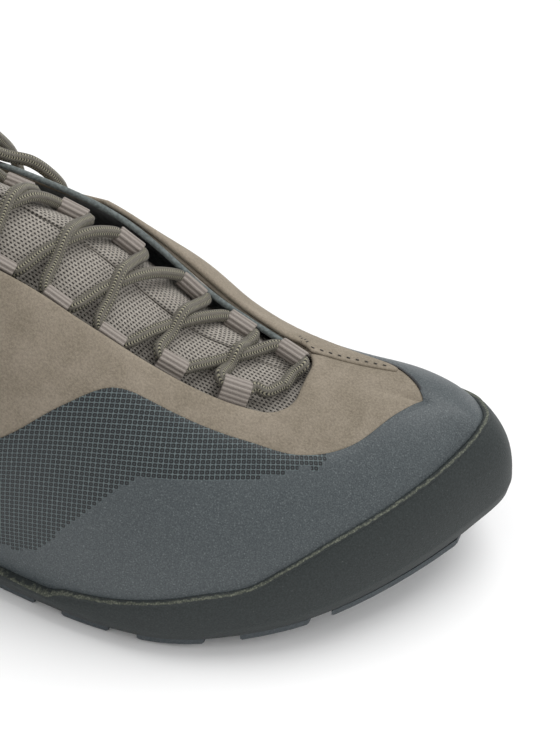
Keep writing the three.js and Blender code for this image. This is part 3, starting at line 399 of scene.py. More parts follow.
@dataclass(frozen=True)
class Finish:
    """Surface of one real material."""

    name: str = "plain"
    roughness: float = 0.8
    ior: float = 1.5

    def material(self) -> bpy.types.Material:
        """Material of this finish, made once."""
        known = bpy.data.materials.get(self.name)
        if known:
            return known
        made = bpy.data.materials.new(self.name)
        made.use_nodes = True
        tree = made.node_tree
        shader = tree.nodes["Principled BSDF"]
        shader.inputs["Roughness"].default_value = self.roughness
        shader.inputs["IOR"].default_value = self.ior
        self.dress(tree, shader)
        return made

    def dress(self, tree: bpy.types.NodeTree, shader: bpy.types.Node) -> None:
        """Feed the shader; each finish has its own way.

        Args:
            tree: node tree of the material.
            shader: its principled shader.
        """

    def places(self, tree: bpy.types.NodeTree) -> bpy.types.NodeSocket:
        """Places on the shoe in millimetres."""
        spot = add(tree, "TexCoord", out="Object")
        return add(tree, "VectorMath", {0: spot, "Scale": 1 / MM}, operation="SCALE")

    def noise(self, tree: bpy.types.NodeTree, size: float, detail: float = 2.0, rough: float = 0.5,
              at: bpy.types.NodeSocket | None = None) -> bpy.types.NodeSocket:
        """Cloudy pattern.

        Args:
            tree: node tree.
            size: width of its clouds in millimetres.
            detail: how many finer layers it has.
            rough: how strong those are.
            at: places to read, or none for the shoe's own.

        Returns:
            Its value, about 0.5 on average.
        """
        return add(tree, "TexNoise", {"Vector": at or self.places(tree), "Scale": 1 / size, "Detail": detail,
                                      "Roughness": rough})

    def between(self, tree: bpy.types.NodeTree, share: bpy.types.NodeSocket, first: str | bpy.types.NodeSocket,
                second: str | bpy.types.NodeSocket, low: float = 0.0, high: float = 1.0) -> bpy.types.NodeSocket:
        """Blend two colours as a value runs from low to high.

        Args:
            tree: node tree.
            share: value that drives the blend.
            first: colour code or socket at low.
            second: colour code or socket at high.
            low: where the blend starts.
            high: where it ends.

        Returns:
            The blended colour.
        """
        t = add(tree, "MapRange", {"Value": share, "From Min": low, "From Max": high},
                interpolation_type="SMOOTHSTEP")
        return self.blended(tree, t, first, second)

    def blended(self, tree: bpy.types.NodeTree, share: float | bpy.types.NodeSocket,
                first: str | bpy.types.NodeSocket, second: str | bpy.types.NodeSocket,
                way: str = "MIX") -> bpy.types.NodeSocket:
        """Lay one colour over another.

        Args:
            tree: node tree.
            share: how much of the second shows.
            first: colour code or socket below.
            second: colour code or socket above.
            way: blend mode.

        Returns:
            The blended colour.
        """
        ends = [colour(c) if isinstance(c, str) else c for c in (first, second)]
        return add(tree, "Mix", {0: share, 6: ends[0], 7: ends[1]}, out=2, data_type="RGBA", blend_type=way)

    def raised(self, tree: bpy.types.NodeTree, shader: bpy.types.Node, height: bpy.types.NodeSocket,
               depth: float) -> None:
        """Raise the surface by a height pattern.

        Args:
            tree: node tree.
            shader: shader whose normal it bends.
            height: pattern from 0 to 1.
            depth: its full height in millimetres.
        """
        bump = add(tree, "Bump", {"Height": height, "Distance": depth * MM, "Strength": 1.0})
        tree.links.new(bump, shader.inputs["Normal"])


@dataclass(frozen=True)
class Suede(Finish):
    """Brushed split leather: matte, with soft lighter and darker strokes where its nap lies another way."""

    name: str = "suede_brushed_split_leather"
    light: str = "#91877a"
    dark: str = "#7a7164"
    high_nap: str = "#a59a88"
    low_nap: str = "#5c5549"
    sheen: str = "#d8d0c0"
    roughness: float = 0.95
    stroke: float = 14.0  # mm, patches of nap
    fibre: float = 0.6  # mm, tufts of nap; the real ones are finer
    depth: float = 0.2  # mm, height of the nap

    def dress(self, tree: bpy.types.NodeTree, shader: bpy.types.Node) -> None:
        """Mottled nap with a faint sheen, as brushing leaves it."""
        patches = self.noise(tree, self.stroke, 3.0, 0.65)
        tufts = self.noise(tree, self.fibre, 3.0, 0.7)
        tone = self.between(tree, patches, self.dark, self.light, 0.3, 0.7)
        nap = self.between(tree, tufts, self.low_nap, self.high_nap, 0.25, 0.75)
        tree.links.new(self.blended(tree, self.nap_share, tone, nap), shader.inputs["Base Color"])
        shader.inputs["Sheen Weight"].default_value = 0.1
        shader.inputs["Sheen Roughness"].default_value = 0.6
        shader.inputs["Sheen Tint"].default_value = colour(self.sheen)
        shader.inputs["Specular IOR Level"].default_value = 0.2
        self.raised(tree, shader, tufts, self.depth)

    @property
    def nap_share(self) -> float:
        """Share of the fine nap in the colour."""
        return 0.35


@dataclass(frozen=True)
class Lining(Finish):
    """Brushed polyester knit: dull and soft, without highlights."""

    name: str = "lining_brushed_polyester"
    light: str = "#686e70"
    dark: str = "#454b4d"
    stitch: float = 0.8  # mm
    depth: float = 0.15  # mm

    def dress(self, tree: bpy.types.NodeTree, shader: bpy.types.Node) -> None:
        """Soft fabric with a fine grain, raised by brushing."""
        grain = self.noise(tree, self.stroke_size, 2.0)
        tree.links.new(self.between(tree, grain, self.dark, self.light, 0.3, 0.7), shader.inputs["Base Color"])
        shader.inputs["Sheen Weight"].default_value = 0.2
        self.raised(tree, shader, grain, self.depth)

    @property
    def stroke_size(self) -> float:
        """Size of the brushed grain in millimetres."""
        return self.stitch


@dataclass(frozen=True)
class BondedFilm(Finish):
    """Polyurethane film pressed hot over a fabric: satin and speckled, with a window of square dimples."""

    name: str = "film_pressed_polyurethane"
    light: str = "#4f5658"
    dark: str = "#353c40"
    # pale flecks: the film's own speckle together with painted glints for its sparkle
    fleck: str = "#858d8b"
    line_light: str = "#5f6b6c"
    line_dark: str = "#434d50"
    ring: str = "#363f42"
    cell: str = "#101417"
    # painted shade: colour of the shadowed sliver along the film's top edge at the strip's end
    gap: str = "#15171a"
    roughness: float = 0.5
    pitch: float = 1.49  # mm between dimples along the shoe
    row: float = 1.41  # mm between their rows
    speck: float = 0.42  # mm, pale specks; finer on the real film
    depth: float = 0.2  # mm, of a dimple

    def dress(self, tree: bpy.types.NodeTree, shader: bpy.types.Node) -> None:
        """Speckled film, dimples where the window value is above zero, and painted shade along the film's top edge
        where the gap value is high.
        """
        fine = self.noise(tree, self.speck, 2.0, 0.65)
        solid = self.between(tree, fine, self.dark, self.light, 0.3, 0.7)
        # pale flecks screened on: the film's speckle, partly painted glints
        pale = self.between(tree, fine, "#000000", self.fleck, 0.6, 0.78)
        solid = self.blended(tree, 0.4, solid, pale, "SCREEN")
        inside, dimple, dot = self.window(tree)
        cells = self.blended(tree, dot, self.ring, self.cell)
        lines = self.between(tree, fine, self.line_dark, self.line_light, 0.3, 0.7)
        tone = self.blended(tree, inside, solid, self.blended(tree, dimple, cells, lines))
        # painted shade: the gap value darkens the film's top edge at the strip's end
        seam = add(tree, "Attribute", attribute_name="gap", out="Fac")
        seam = add(tree, "MapRange", {"Value": seam, "From Min": 0.45, "From Max": 0.6})
        tree.links.new(self.blended(tree, seam, tone, self.gap), shader.inputs["Base Color"])
        pressed = add(tree, "Math", {0: 1.0, 1: dimple}, operation="SUBTRACT")
        pressed = add(tree, "Math", {0: pressed, 1: inside}, operation="MULTIPLY")
        height = add(tree, "Math", {0: fine, 1: 0.4}, operation="MULTIPLY")
        height = add(tree, "Math", {0: height, 1: pressed}, operation="SUBTRACT")
        self.raised(tree, shader, height, self.depth)

    def window(self, tree: bpy.types.NodeTree) -> tuple[bpy.types.NodeSocket, ...]:
        """Masks of the dimpled window.

        Args:
            tree: node tree.

        Returns:
            Inside the window, by whole dimples; on the lines between dimples; and off a dimple's middle.
        """
        chart = add(tree, "Attribute", attribute_name="chart", out="Vector")
        size = (1 / self.pitch, 1 / self.row, 0.0)
        cells = add(tree, "VectorMath", {0: chart, 1: size}, operation="MULTIPLY")
        cells = add(tree, "VectorMath", {0: cells}, operation="FRACTION")
        cells = add(tree, "VectorMath", {0: cells, 1: (0.5, 0.5, 0.0)}, operation="SUBTRACT")
        slope = add(tree, "Attribute", attribute_name="slope", out="Vector")
        back = add(tree, "VectorMath", {0: cells, 1: (-self.pitch, -self.row, 0.0)}, operation="MULTIPLY")
        change = add(tree, "VectorMath", {0: slope, 1: back}, out="Value", operation="DOT_PRODUCT")
        value = add(tree, "Attribute", attribute_name="window", out="Fac")
        value = add(tree, "Math", {0: value, 1: change}, operation="ADD")
        inside = add(tree, "MapRange", {"Value": value, "From Min": -0.03, "From Max": 0.03})
        sides = add(tree, "VectorMath", {0: cells}, operation="ABSOLUTE")
        powers = [add(tree, "Math", {0: add(tree, "SeparateXYZ", {0: sides}, out=k), 1: 4.0}, operation="POWER")
                  for k in (0, 1)]
        square = add(tree, "Math", {0: powers[0], 1: powers[1]}, operation="ADD")
        square = add(tree, "Math", {0: square, 1: 0.25}, operation="POWER")
        dimple = add(tree, "MapRange", {"Value": square, "From Min": 0.35, "From Max": 0.45},
                     interpolation_type="SMOOTHSTEP")
        dot = add(tree, "MapRange", {"Value": square, "From Min": 0.08, "From Max": 0.17},
                  interpolation_type="SMOOTHSTEP")
        return inside, dimple, dot


@dataclass(frozen=True)
class Rubber(Finish):
    """Moulded rubber: matte, slightly mottled, with pale dust in its grain."""

    name: str = "rubber_moulded_rand"
    base: str = "#202626"
    light: str = "#2f3535"
    dust: str = "#8b8f88"
    glue_dark: str = "#444840"
    glue_light: str = "#7a7d6e"
    roughness: float = 0.62
    grain: float = 0.5  # mm, texture of the mould
    depth: float = 0.14  # mm
    glue_line: bool = True

    def dress(self, tree: bpy.types.NodeTree, shader: bpy.types.Node) -> None:
        """Grainy rubber, with a thin broken line of dried adhesive at its top edge."""
        grain = self.noise(tree, self.grain, 2.0, 0.6)
        cloud = self.noise(tree, 6.0, 3.0)
        tone = self.between(tree, grain, self.base, self.light, 0.3, 0.75)
        tone = self.blended(tree, self.between(tree, cloud, "#000000", "#303030", 0.4, 0.7), tone, self.light)
        fleck = self.between(tree, grain, "#000000", self.dust, 0.7, 0.8)
        tone = self.blended(tree, 0.3, tone, fleck, "SCREEN")
        if self.glue_line:
            tone = self.glued(tree, tone, grain)
        tree.links.new(tone, shader.inputs["Base Color"])
        shader.inputs["Specular IOR Level"].default_value = 0.4
        self.raised(tree, shader, grain, self.depth)

    def glued(self, tree: bpy.types.NodeTree, tone: bpy.types.NodeSocket,
              grain: bpy.types.NodeSocket) -> bpy.types.NodeSocket:
        """Colour with the adhesive line laid over it.

        Args:
            tree: node tree.
            tone: colour of the rubber.
            grain: pattern that breaks up the line's colour.

        Returns:
            The colour with the line.
        """
        edge = add(tree, "Attribute", attribute_name="edge", out="Fac")
        broken = add(tree, "Math", {0: self.noise(tree, 1.6, 3.0), 1: 0.9}, operation="MULTIPLY")
        line = add(tree, "Math", {0: edge, 1: broken}, operation="ADD")
        near = add(tree, "MapRange", {"Value": line, "From Min": 1.2, "From Max": 1.0})
        far = add(tree, "MapRange", {"Value": line, "From Min": 0.55, "From Max": 0.75})
        share = add(tree, "Math", {0: near, 1: far}, operation="MULTIPLY")
        return self.blended(tree, share, tone, self.between(tree, grain, self.glue_dark, self.glue_light,
                                                            0.4, 0.75))


@dataclass(frozen=True)
class Foam(Finish):
    """Moulded EVA foam: a dull closed skin with a fine grain."""

    name: str = "foam_moulded_eva"
    light: str = "#5c6264"
    dark: str = "#484e52"
    grain: float = 1.1  # mm
    depth: float = 0.1  # mm

    def dress(self, tree: bpy.types.NodeTree, shader: bpy.types.Node) -> None:
        """Even grey skin, as the mould leaves it."""
        grain = self.noise(tree, self.grain, 3.0)
        tree.links.new(self.between(tree, grain, self.dark, self.light, 0.3, 0.7), shader.inputs["Base Color"])
        self.raised(tree, shader, grain, self.depth)


@dataclass(frozen=True)
class AirKnit(Finish):
    """Spacer knit: pale polyester threads round staggered dark holes."""

    name: str = "knit_spacer_polyester"
    thread_light: str = "#b0aaa1"
    thread_dark: str = "#88827a"
    hole: str = "#34312d"
    roughness: float = 0.85
    pitch: float = 1.24  # mm between holes in a row
    row: float = 1.0  # mm between rows
    yarn: float = 0.4  # mm
    depth: float = 0.4  # mm, of a hole

    def dress(self, tree: bpy.types.NodeTree, shader: bpy.types.Node) -> None:
        """Holes staggered from row to row, with rounded threads between them."""
        chart = add(tree, "Attribute", attribute_name="chart", out="Vector")
        across = add(tree, "SeparateXYZ", {0: chart}, out=0)
        down = add(tree, "SeparateXYZ", {0: chart}, out=1)
        row = add(tree, "Math", {0: down, 1: self.row}, operation="DIVIDE")
        number = add(tree, "Math", {0: row}, operation="FLOOR")
        stagger = add(tree, "Math", {0: number, 1: 0.5}, operation="MULTIPLY")
        place = add(tree, "Math", {0: across, 1: 1 / self.pitch, 2: stagger}, operation="MULTIPLY_ADD")
        x = add(tree, "Math", {0: add(tree, "Math", {0: place}, operation="FRACT"), 1: 0.5}, operation="SUBTRACT")
        y = add(tree, "Math", {0: add(tree, "Math", {0: row}, operation="FRACT"), 1: 0.5}, operation="SUBTRACT")
        wide = add(tree, "Math", {0: x, 1: 0.8}, operation="MULTIPLY")
        square = add(tree, "Math", {0: wide, 1: wide}, operation="MULTIPLY")
        reach = add(tree, "Math", {0: y, 1: y, 2: square}, operation="MULTIPLY_ADD")
        reach = add(tree, "Math", {0: reach}, operation="SQRT")
        thread = add(tree, "MapRange", {"Value": reach, "From Min": 0.12, "From Max": 0.32},
                     interpolation_type="SMOOTHSTEP")
        yarn = self.between(tree, self.noise(tree, self.yarn, 2.0), self.thread_dark, self.thread_light, 0.3, 0.7)
        tree.links.new(self.blended(tree, thread, self.hole, yarn), shader.inputs["Base Color"])
        shader.inputs["Sheen Weight"].default_value = 0.1
        self.raised(tree, shader, thread, self.depth)


@dataclass(frozen=True)
class Webbing(Finish):
    """Woven polyester webbing: satin ribs, with painted shade in the grooves between them."""

    name: str = "webbing_woven_polyester"
    rib: str = "#8f877f"
    # painted shade in the grooves between the ribs
    groove: str = "#615952"
    yarn_light: str = "#aca39b"
    yarn_dark: str = "#665c56"
    roughness: float = 0.55
    yarn: float = 0.4  # mm
    depth: float = 0.12  # mm

    def dress(self, tree: bpy.types.NodeTree, shader: bpy.types.Node) -> None:
        """Ribs from the chart's third value, with fine yarns along them."""
        chart = add(tree, "Attribute", attribute_name="chart", out="Vector")
        rib = add(tree, "SeparateXYZ", {0: chart}, out=2)
        fine = self.noise(tree, self.yarn, 2.0)
        # painted shade: darker where the rib value is low, in the grooves and on the under face
        tone = self.between(tree, rib, self.groove, self.rib, -0.8, 0.4)
        tone = self.blended(tree, 0.3, tone, self.between(tree, fine, self.yarn_dark, self.yarn_light))
        tree.links.new(tone, shader.inputs["Base Color"])
        shader.inputs["Sheen Weight"].default_value = 0.15
        self.raised(tree, shader, fine, self.depth)


@dataclass(frozen=True)
class Braid(Finish):
    """Round braided polyester lace: smooth bands between rows of small stitches."""

    name: str = "lace_braided_polyester"
    band_light: str = "#6b665c"
    band_dark: str = "#4a473f"
    # painted highlight on the tops of the stitches
    stitch: str = "#98937e"
    # painted shade in the grooves between the stitches
    groove: str = "#1b1a17"
    roughness: float = 0.75
    bead: float = 0.8  # mm along the lace; the real stitches are about 0.6 mm, too fine for the render
    slant: float = 0.35  # how far a stitch leans, as a share of its length
    depth: float = 0.14  # mm

    def dress(self, tree: bpy.types.NodeTree, shader: bpy.types.Node) -> None:
        """Stitches with painted light and shade, lit tops and shaded grooves, where the chart's third value is low;
        smooth bands where it is high.
        """
        chart = add(tree, "Attribute", attribute_name="chart", out="Vector")
        run, rib = (add(tree, "SeparateXYZ", {0: chart}, out=k) for k in (0, 2))
        slant = add(tree, "Math", {0: rib, 1: self.slant}, operation="MULTIPLY")
        phase = add(tree, "Math", {0: run, 1: 1 / self.bead, 2: slant}, operation="MULTIPLY_ADD")
        wave = add(tree, "Math", {0: phase, 1: 2 * math.pi}, operation="MULTIPLY")
        wave = add(tree, "Math", {0: wave}, operation="SINE")
        # painted light and shade of the stitches: pale tops, near-black grooves between them
        bead = self.between(tree, wave, self.groove, self.stitch, -0.6, 0.5)
        band = self.between(tree, self.noise(tree, 0.35, 2.0), self.band_dark, self.band_light, 0.3, 0.7)
        tree.links.new(self.between(tree, rib, bead, band, -0.35, 0.15), shader.inputs["Base Color"])
        beaded = add(tree, "MapRange", {"Value": rib, "From Min": -0.15, "From Max": -0.45})
        height = add(tree, "Math", {0: wave, 1: beaded}, operation="MULTIPLY")
        shader.inputs["Sheen Weight"].default_value = 0.1
        self.raised(tree, shader, height, self.depth)


@dataclass(frozen=True)
class Plain(Finish):
    """Extruded or spun polyester in one dark tone, for threads and lace tips."""

    name: str = "thread_spun_polyester"
    light: str = "#2f2c28"
    dark: str = "#1b1917"
    roughness: float = 0.6

    def dress(self, tree: bpy.types.NodeTree, shader: bpy.types.Node) -> None:
        """One tone with a slight variation."""
        tree.links.new(self.between(tree, self.noise(tree, 0.6, 2.0), self.dark, self.light, 0.3, 0.7),
                       shader.inputs["Base Color"])


# The last


@dataclass
class Last:
    """Form that the shoe is built round, with the outline of the sole under it."""

    length: float = 298.0
    ball_width: float = 111.0
    instep_height: float = 122.0
    toe_spring: float = 21.0
    arch_lift: float = 2.2
    clearance: float = 0.3
    lug_height: float = 2.6
    plate: float = 2.0  # outsole above its lugs
    foam_ball: float = 7.2
    foam_rim: float = 3.4
    foam_heel: float = 19.5
    feather_inset: float = 3.6  # upper, in from the rand outside
    spring_start: float = 0.655  # shares of the length
    arch_centre: float = 0.42
    arch_reach: float = 0.14
    crest_start: float = 0.16
    crest_end: float = 0.9
    throat_front: float = 0.803
    throat_centre: float = 0.045  # share of the ball width
    throat_corner: float = 7.0
    steps_along: int = 190
    steps_up: int = 92

    outline_table = (
        (0.0, 0.01), (0.035, -0.175), (0.1, -0.275), (0.2, -0.325), (0.33, -0.345), (0.46, -0.405),
        (0.56, -0.465), (0.66, -0.5), (0.74, -0.49), (0.81, -0.425), (0.87, -0.33), (0.93, -0.175),
        (0.977, 0.0), (0.998, 0.13), (0.973, 0.25), (0.925, 0.345), (0.86, 0.43), (0.76, 0.495),
        (0.68, 0.5), (0.6, 0.465), (0.5, 0.395), (0.38, 0.355), (0.24, 0.35), (0.12, 0.3), (0.04, 0.195),
    )
    crest_table = Table(("height", "across", "lateral", "medial"), (
        (0.1, 1.0, 0.0, 2.9, 2.9), (0.2, 1.0, 0.01, 2.8, 2.8), (0.3, 1.02, 0.03, 2.5, 2.5),
        (0.4, 0.985, 0.06, 2.15, 2.3), (0.5, 0.885, 0.1, 1.95, 2.1), (0.6, 0.765, 0.105, 1.88, 1.7),
        (0.7, 0.6, 0.08, 1.9, 1.34), (0.8, 0.495, 0.08, 2.0, 1.53), (0.88, 0.46, 0.1, 2.4, 2.5),
        (0.92, 0.442, 0.11, 2.9, 3.4),
    ))
    foam_table = Table(("heel", "ball", "rim"), (
        (0.0, 1.0, 0.0, 0.0), (0.2, 0.96, 0.0, 0.0), (0.36, 0.6, 0.35, 0.3), (0.46, 0.22, 0.75, 0.8),
        (0.56, 0.0, 1.0, 1.0), (1.0, 0.0, 0.8, 1.0),
    ))
    throat_table = Table(("lateral", "medial"), (
        (0.3, -0.176, 0.255), (0.45, -0.163, 0.242), (0.55, -0.163, 0.229), (0.61, -0.174, 0.212),
        (0.68, -0.174, 0.1855), (0.745, -0.159, 0.157), (0.805, -0.1176, 0.1045),
    ))
    collar_table = (
        (-0.05, 89.6), (0.03, 87.0), (0.1, 77.7), (0.18, 69.6), (0.26, 66.0), (0.315, 74.4),
        (0.362, 86.8), (0.388, 105.8), (0.4, 125.3),
    )

    def __post_init__(self) -> None:
        """Sample the outline once."""
        points = np.array([(self.x_at(a), c * self.ball_width) for a, c in self.outline_table])
        samples = smooth_through(points, 24, closed=True)
        heel, toe = samples[:, 0].argmin(), samples[:, 0].argmax()
        self.heel_tip, self.toe_tip = samples[heel], samples[toe]
        self.lateral_edge = samples[heel:toe + 1]
        self.medial_edge = np.vstack([samples[toe:], samples[:heel + 1]])[::-1]
        collar = np.array([(self.x_at(a), h) for a, h in self.collar_table])
        self.collar = smooth_through(collar, 28)
        self._tree: BVHTree | None = None

    def x_at(self, along: Array) -> Array:
        """X of a share of the length."""
        return (along - 0.5) * self.length

    def along_at(self, x: Array) -> Array:
        """Share of the length at X."""
        return x / self.length + 0.5

    def edge_y(self, side: Side, x: Array) -> Array:
        """Y of the sole outline on one side at X."""
        edge = self.lateral_edge if side is Side.LATERAL else self.medial_edge
        return np.interp(x, edge[:, 0], edge[:, 1])

    def tread(self, along: Array) -> Array:
        """Height of the tread above the floor."""
        spring = self.toe_spring * (np.maximum(along - self.spring_start, 0) / (1 - self.spring_start)) ** 2
        bow = np.maximum(1 - ((along - self.arch_centre) / self.arch_reach) ** 2, 0)
        return spring + self.arch_lift * bow * bow

    def plate_top(self, along: Array) -> Array:
        """Height of the outsole's upper face."""
        return self.tread(along) + self.lug_height + self.plate

    def feather(self, along: Array) -> Array:
        """Height of the feather line, where the upper meets the midsole."""
        return (self.plate_top(along) + self.clearance + self.foam_heel * self.foam_table.read("heel", along)
                + self.foam_rim * self.foam_table.read("rim", along))

    def footbed(self, along: Array) -> Array:
        """Height of the foam inside the upper."""
        return (self.plate_top(along) + self.clearance + self.foam_heel * self.foam_table.read("heel", along)
                + self.foam_ball * self.foam_table.read("ball", along))

    def rim(self, u: Array) -> tuple[Array, Array, Array]:
        """Sole outline by a turn round the shoe.

        Args:
            u: 0 at the heel, 1 at the toe by the outer side, 2 at the heel again by the inner side.

        Returns:
            Share of the way from heel tip to toe tip, places in plan, and outward directions.
        """
        def place(v: Array) -> Array:
            v = np.mod(v, 2)
            share = (1 - np.cos(np.pi * v)) / 2
            x = self.heel_tip[0] + share * (self.toe_tip[0] - self.heel_tip[0])
            y = np.where(v <= 1, self.edge_y(Side.LATERAL, x), self.edge_y(Side.MEDIAL, x))
            return np.stack([x, y], -1)
        step = 0.012
        ahead = unit(place(u + step) - place(u - step))
        v = np.mod(u, 2)
        return (1 - np.cos(np.pi * v)) / 2, place(u), np.stack([ahead[..., 1], -ahead[..., 0]], -1)

    def skin_at(self, u: Array, rise: Array) -> Array:
        """Places on the last.

        Args:
            u: turn round the shoe, as in rim.
            rise: 0 at the feather line, 1 on the crest.

        Returns:
            Places, one row each.
        """
        u, rise = np.broadcast_arrays(np.asarray(u, float), np.asarray(rise, float))
        along, place, out = self.rim(u)
        share = self.crest_start + (self.crest_end - self.crest_start) * along
        lateral = self.crest_table.read("lateral", share)
        medial = self.crest_table.read("medial", share)
        power = 2 / ((lateral + medial) / 2 + out[..., 1] * (medial - lateral) / 2)
        top = np.stack([self.x_at(share), self.crest_table.read("across", share) * self.ball_width,
                        self.crest_table.read("height", share) * self.instep_height], -1)
        base = place - out * self.feather_inset
        foot = self.feather(self.along_at(base[..., 0])) + self.clearance
        angle = np.clip(rise, 0, 1) * np.pi / 2
        near = np.maximum(np.cos(angle), 0) ** power
        up = np.maximum(np.sin(angle), 0) ** power
        plan = top[..., :2] + (base - top[..., :2]) * near[..., None]
        return np.concatenate([plan, (foot + (top[..., 2] - foot) * up)[..., None]], -1)

    def normal_at(self, u: Array, rise: Array) -> Array:
        """Outward directions of the last at such places."""
        u, rise = np.broadcast_arrays(np.asarray(u, float), np.asarray(rise, float))
        r = np.clip(rise, 0.01, 0.99)
        along = self.skin_at(u + 0.006, r) - self.skin_at(u - 0.006, r)
        upward = self.skin_at(u, r + 0.01) - self.skin_at(u, r - 0.01)
        return unit(np.cross(along, upward))

    def skin(self, u: Array, rise: Array, out: Array = 0.0) -> Array:
        """Places moved off the last along its outward direction."""
        out = np.broadcast_to(np.asarray(out, float), np.broadcast_shapes(np.shape(u), np.shape(rise)))
        return self.skin_at(u, rise) + self.normal_at(u, rise) * out[..., None]

    def rim_point(self, u: Array, inset: Array, height: Callable[[Array], Array]) -> Array:
        """Places of the outline moved inwards, at a height worked out from the place along the shoe."""
        _, place, out = self.rim(u)
        inset = np.broadcast_to(np.asarray(inset, float), np.shape(u))
        plan = place - out * inset[..., None]
        return np.concatenate([plan, height(self.along_at(plan[..., 0]))[..., None]], -1)

    def rise_where(self, u: Array, below: Callable[[Array], Array]) -> Array:
        """Rise at which a test, true further down, turns false."""
        low, high = np.zeros_like(u), np.ones_like(u)
        for _ in range(24):
            middle = (low + high) / 2
            is_low = below(middle)
            low, high = np.where(is_low, middle, low), np.where(is_low, high, middle)
        return (low + high) / 2

    def whole_skin(self) -> Panel:
        """The last's skin as one panel, with turn, rise, run and climb at each place."""
        around = 2 * self.steps_along
        u = 2 * np.arange(around) / around
        rises = (np.arange(self.steps_up + 1) / self.steps_up) ** 1.25
        grid_u, grid_rise = np.meshgrid(u, rises)
        places = self.skin_at(grid_u, grid_rise)
        normals = self.normal_at(grid_u, grid_rise)
        mirror = (-np.arange(around)) % around
        normals[-1] = unit(normals[-1] + normals[-1][mirror])
        middle = places[self.steps_up // 3]
        run = np.concatenate([[0], np.cumsum(np.linalg.norm(np.diff(middle, axis=0), axis=1))])
        climb = np.concatenate([np.zeros((1, around)),
                                np.cumsum(np.linalg.norm(np.diff(places, axis=0), axis=2), axis=0)])
        ids = np.arange(around * (self.steps_up + 1)).reshape(self.steps_up + 1, around)
        ids[-1] = np.minimum(ids[-1], ids[-1][mirror])
        a, b = ids[:-1], np.roll(ids, -1, 1)[:-1]
        c, d = np.roll(ids, -1, 1)[1:], ids[1:]
        triangles = np.concatenate([np.stack([a, b, c], -1).reshape(-1, 3), np.stack([a, c, d], -1).reshape(-1, 3)])
        whole = triangles[(triangles[:, 0] != triangles[:, 1]) & (triangles[:, 1] != triangles[:, 2])
                          & (triangles[:, 0] != triangles[:, 2])]
        values = {"u": grid_u.ravel(), "rise": grid_rise.ravel(),
                  "run": np.broadcast_to(run, grid_u.shape).ravel().copy(), "climb": climb.ravel()}
        return Panel(places.reshape(-1, 3), normals.reshape(-1, 3), values, whole)

    def throat_distance(self, places: Array, grow: float = 0.0) -> Array:
        """How far places lie outside the throat's edge in plan; negative inside it."""
        x, y = places[..., 0], places[..., 1]
        along = self.along_at(x)
        low = (self.throat_centre + self.throat_table.read("lateral", along)) * self.ball_width - grow
        high = (self.throat_centre + self.throat_table.read("medial", along)) * self.ball_width + grow
        ahead = self.x_at(self.throat_front) + grow - x
        aside = np.minimum(y - low, high - y)
        corner = self.throat_corner
        rounded = corner - np.hypot(corner - np.minimum(ahead, corner), corner - np.minimum(aside, corner))
        return -np.where((ahead < corner) & (aside < corner), rounded, np.minimum(ahead, aside))

    def collar_distance(self, places: Array) -> Array:
        """How far places lie below the collar line; negative above it."""
        x = np.clip(places[..., 0], self.collar[0, 0], None)
        height = np.interp(x, self.collar[:, 0], self.collar[:, 1], right=300.0)
        step = 1.0
        slope = np.interp(x + step, self.collar[:, 0], self.collar[:, 1], right=300.0) - height
        return (height - places[..., 2]) / np.hypot(1, np.clip(slope, -4, 4))

    def spot(self, x: float, y: float, out: float) -> tuple[Array, Array]:
        """Place above or below the last in plan.

        Args:
            x: along the shoe.
            y: across it.
            out: how far off the last.

        Returns:
            The place and the last's outward direction there.
        """
        if self._tree is None:
            whole = self.whole_skin()
            self._tree = BVHTree.FromPolygons(whole.places.tolist(), whole.triangles.tolist())

        def height(px: float, py: float) -> float:
            hit = self._tree.ray_cast(Vector((px, py, 400)), Vector((0, 0, -1)))[0]
            return hit.z if hit else 0.0
        step = 1.5
        slope_x = (height(x + step, y) - height(x - step, y)) / (2 * step)
        slope_y = (height(x, y + step) - height(x, y - step)) / (2 * step)
        normal = unit(np.array([-slope_x, -slope_y, 1.0]))
        return np.array([x, y, height(x, y)]) + normal * out, normal


@dataclass(frozen=True)
class Crease:
    """Soft trough or ridge in the upper: middle, direction, half length, half width and height."""

    middle: tuple[float, float, float]
    ahead: tuple[float, float, float]
    reach: float
    width: float
    height: float

    def lift(self, places: Array) -> Array:
        """How far it moves the skin out."""
        offset = places - np.array(self.middle)
        direction = unit(np.array(self.ahead))
        along = offset @ direction
        aside = np.linalg.norm(offset - along[:, None] * direction, axis=1)
        return self.height * np.exp(-(along / self.reach) ** 2 - (aside / self.width) ** 2)


# Sub-assemblies


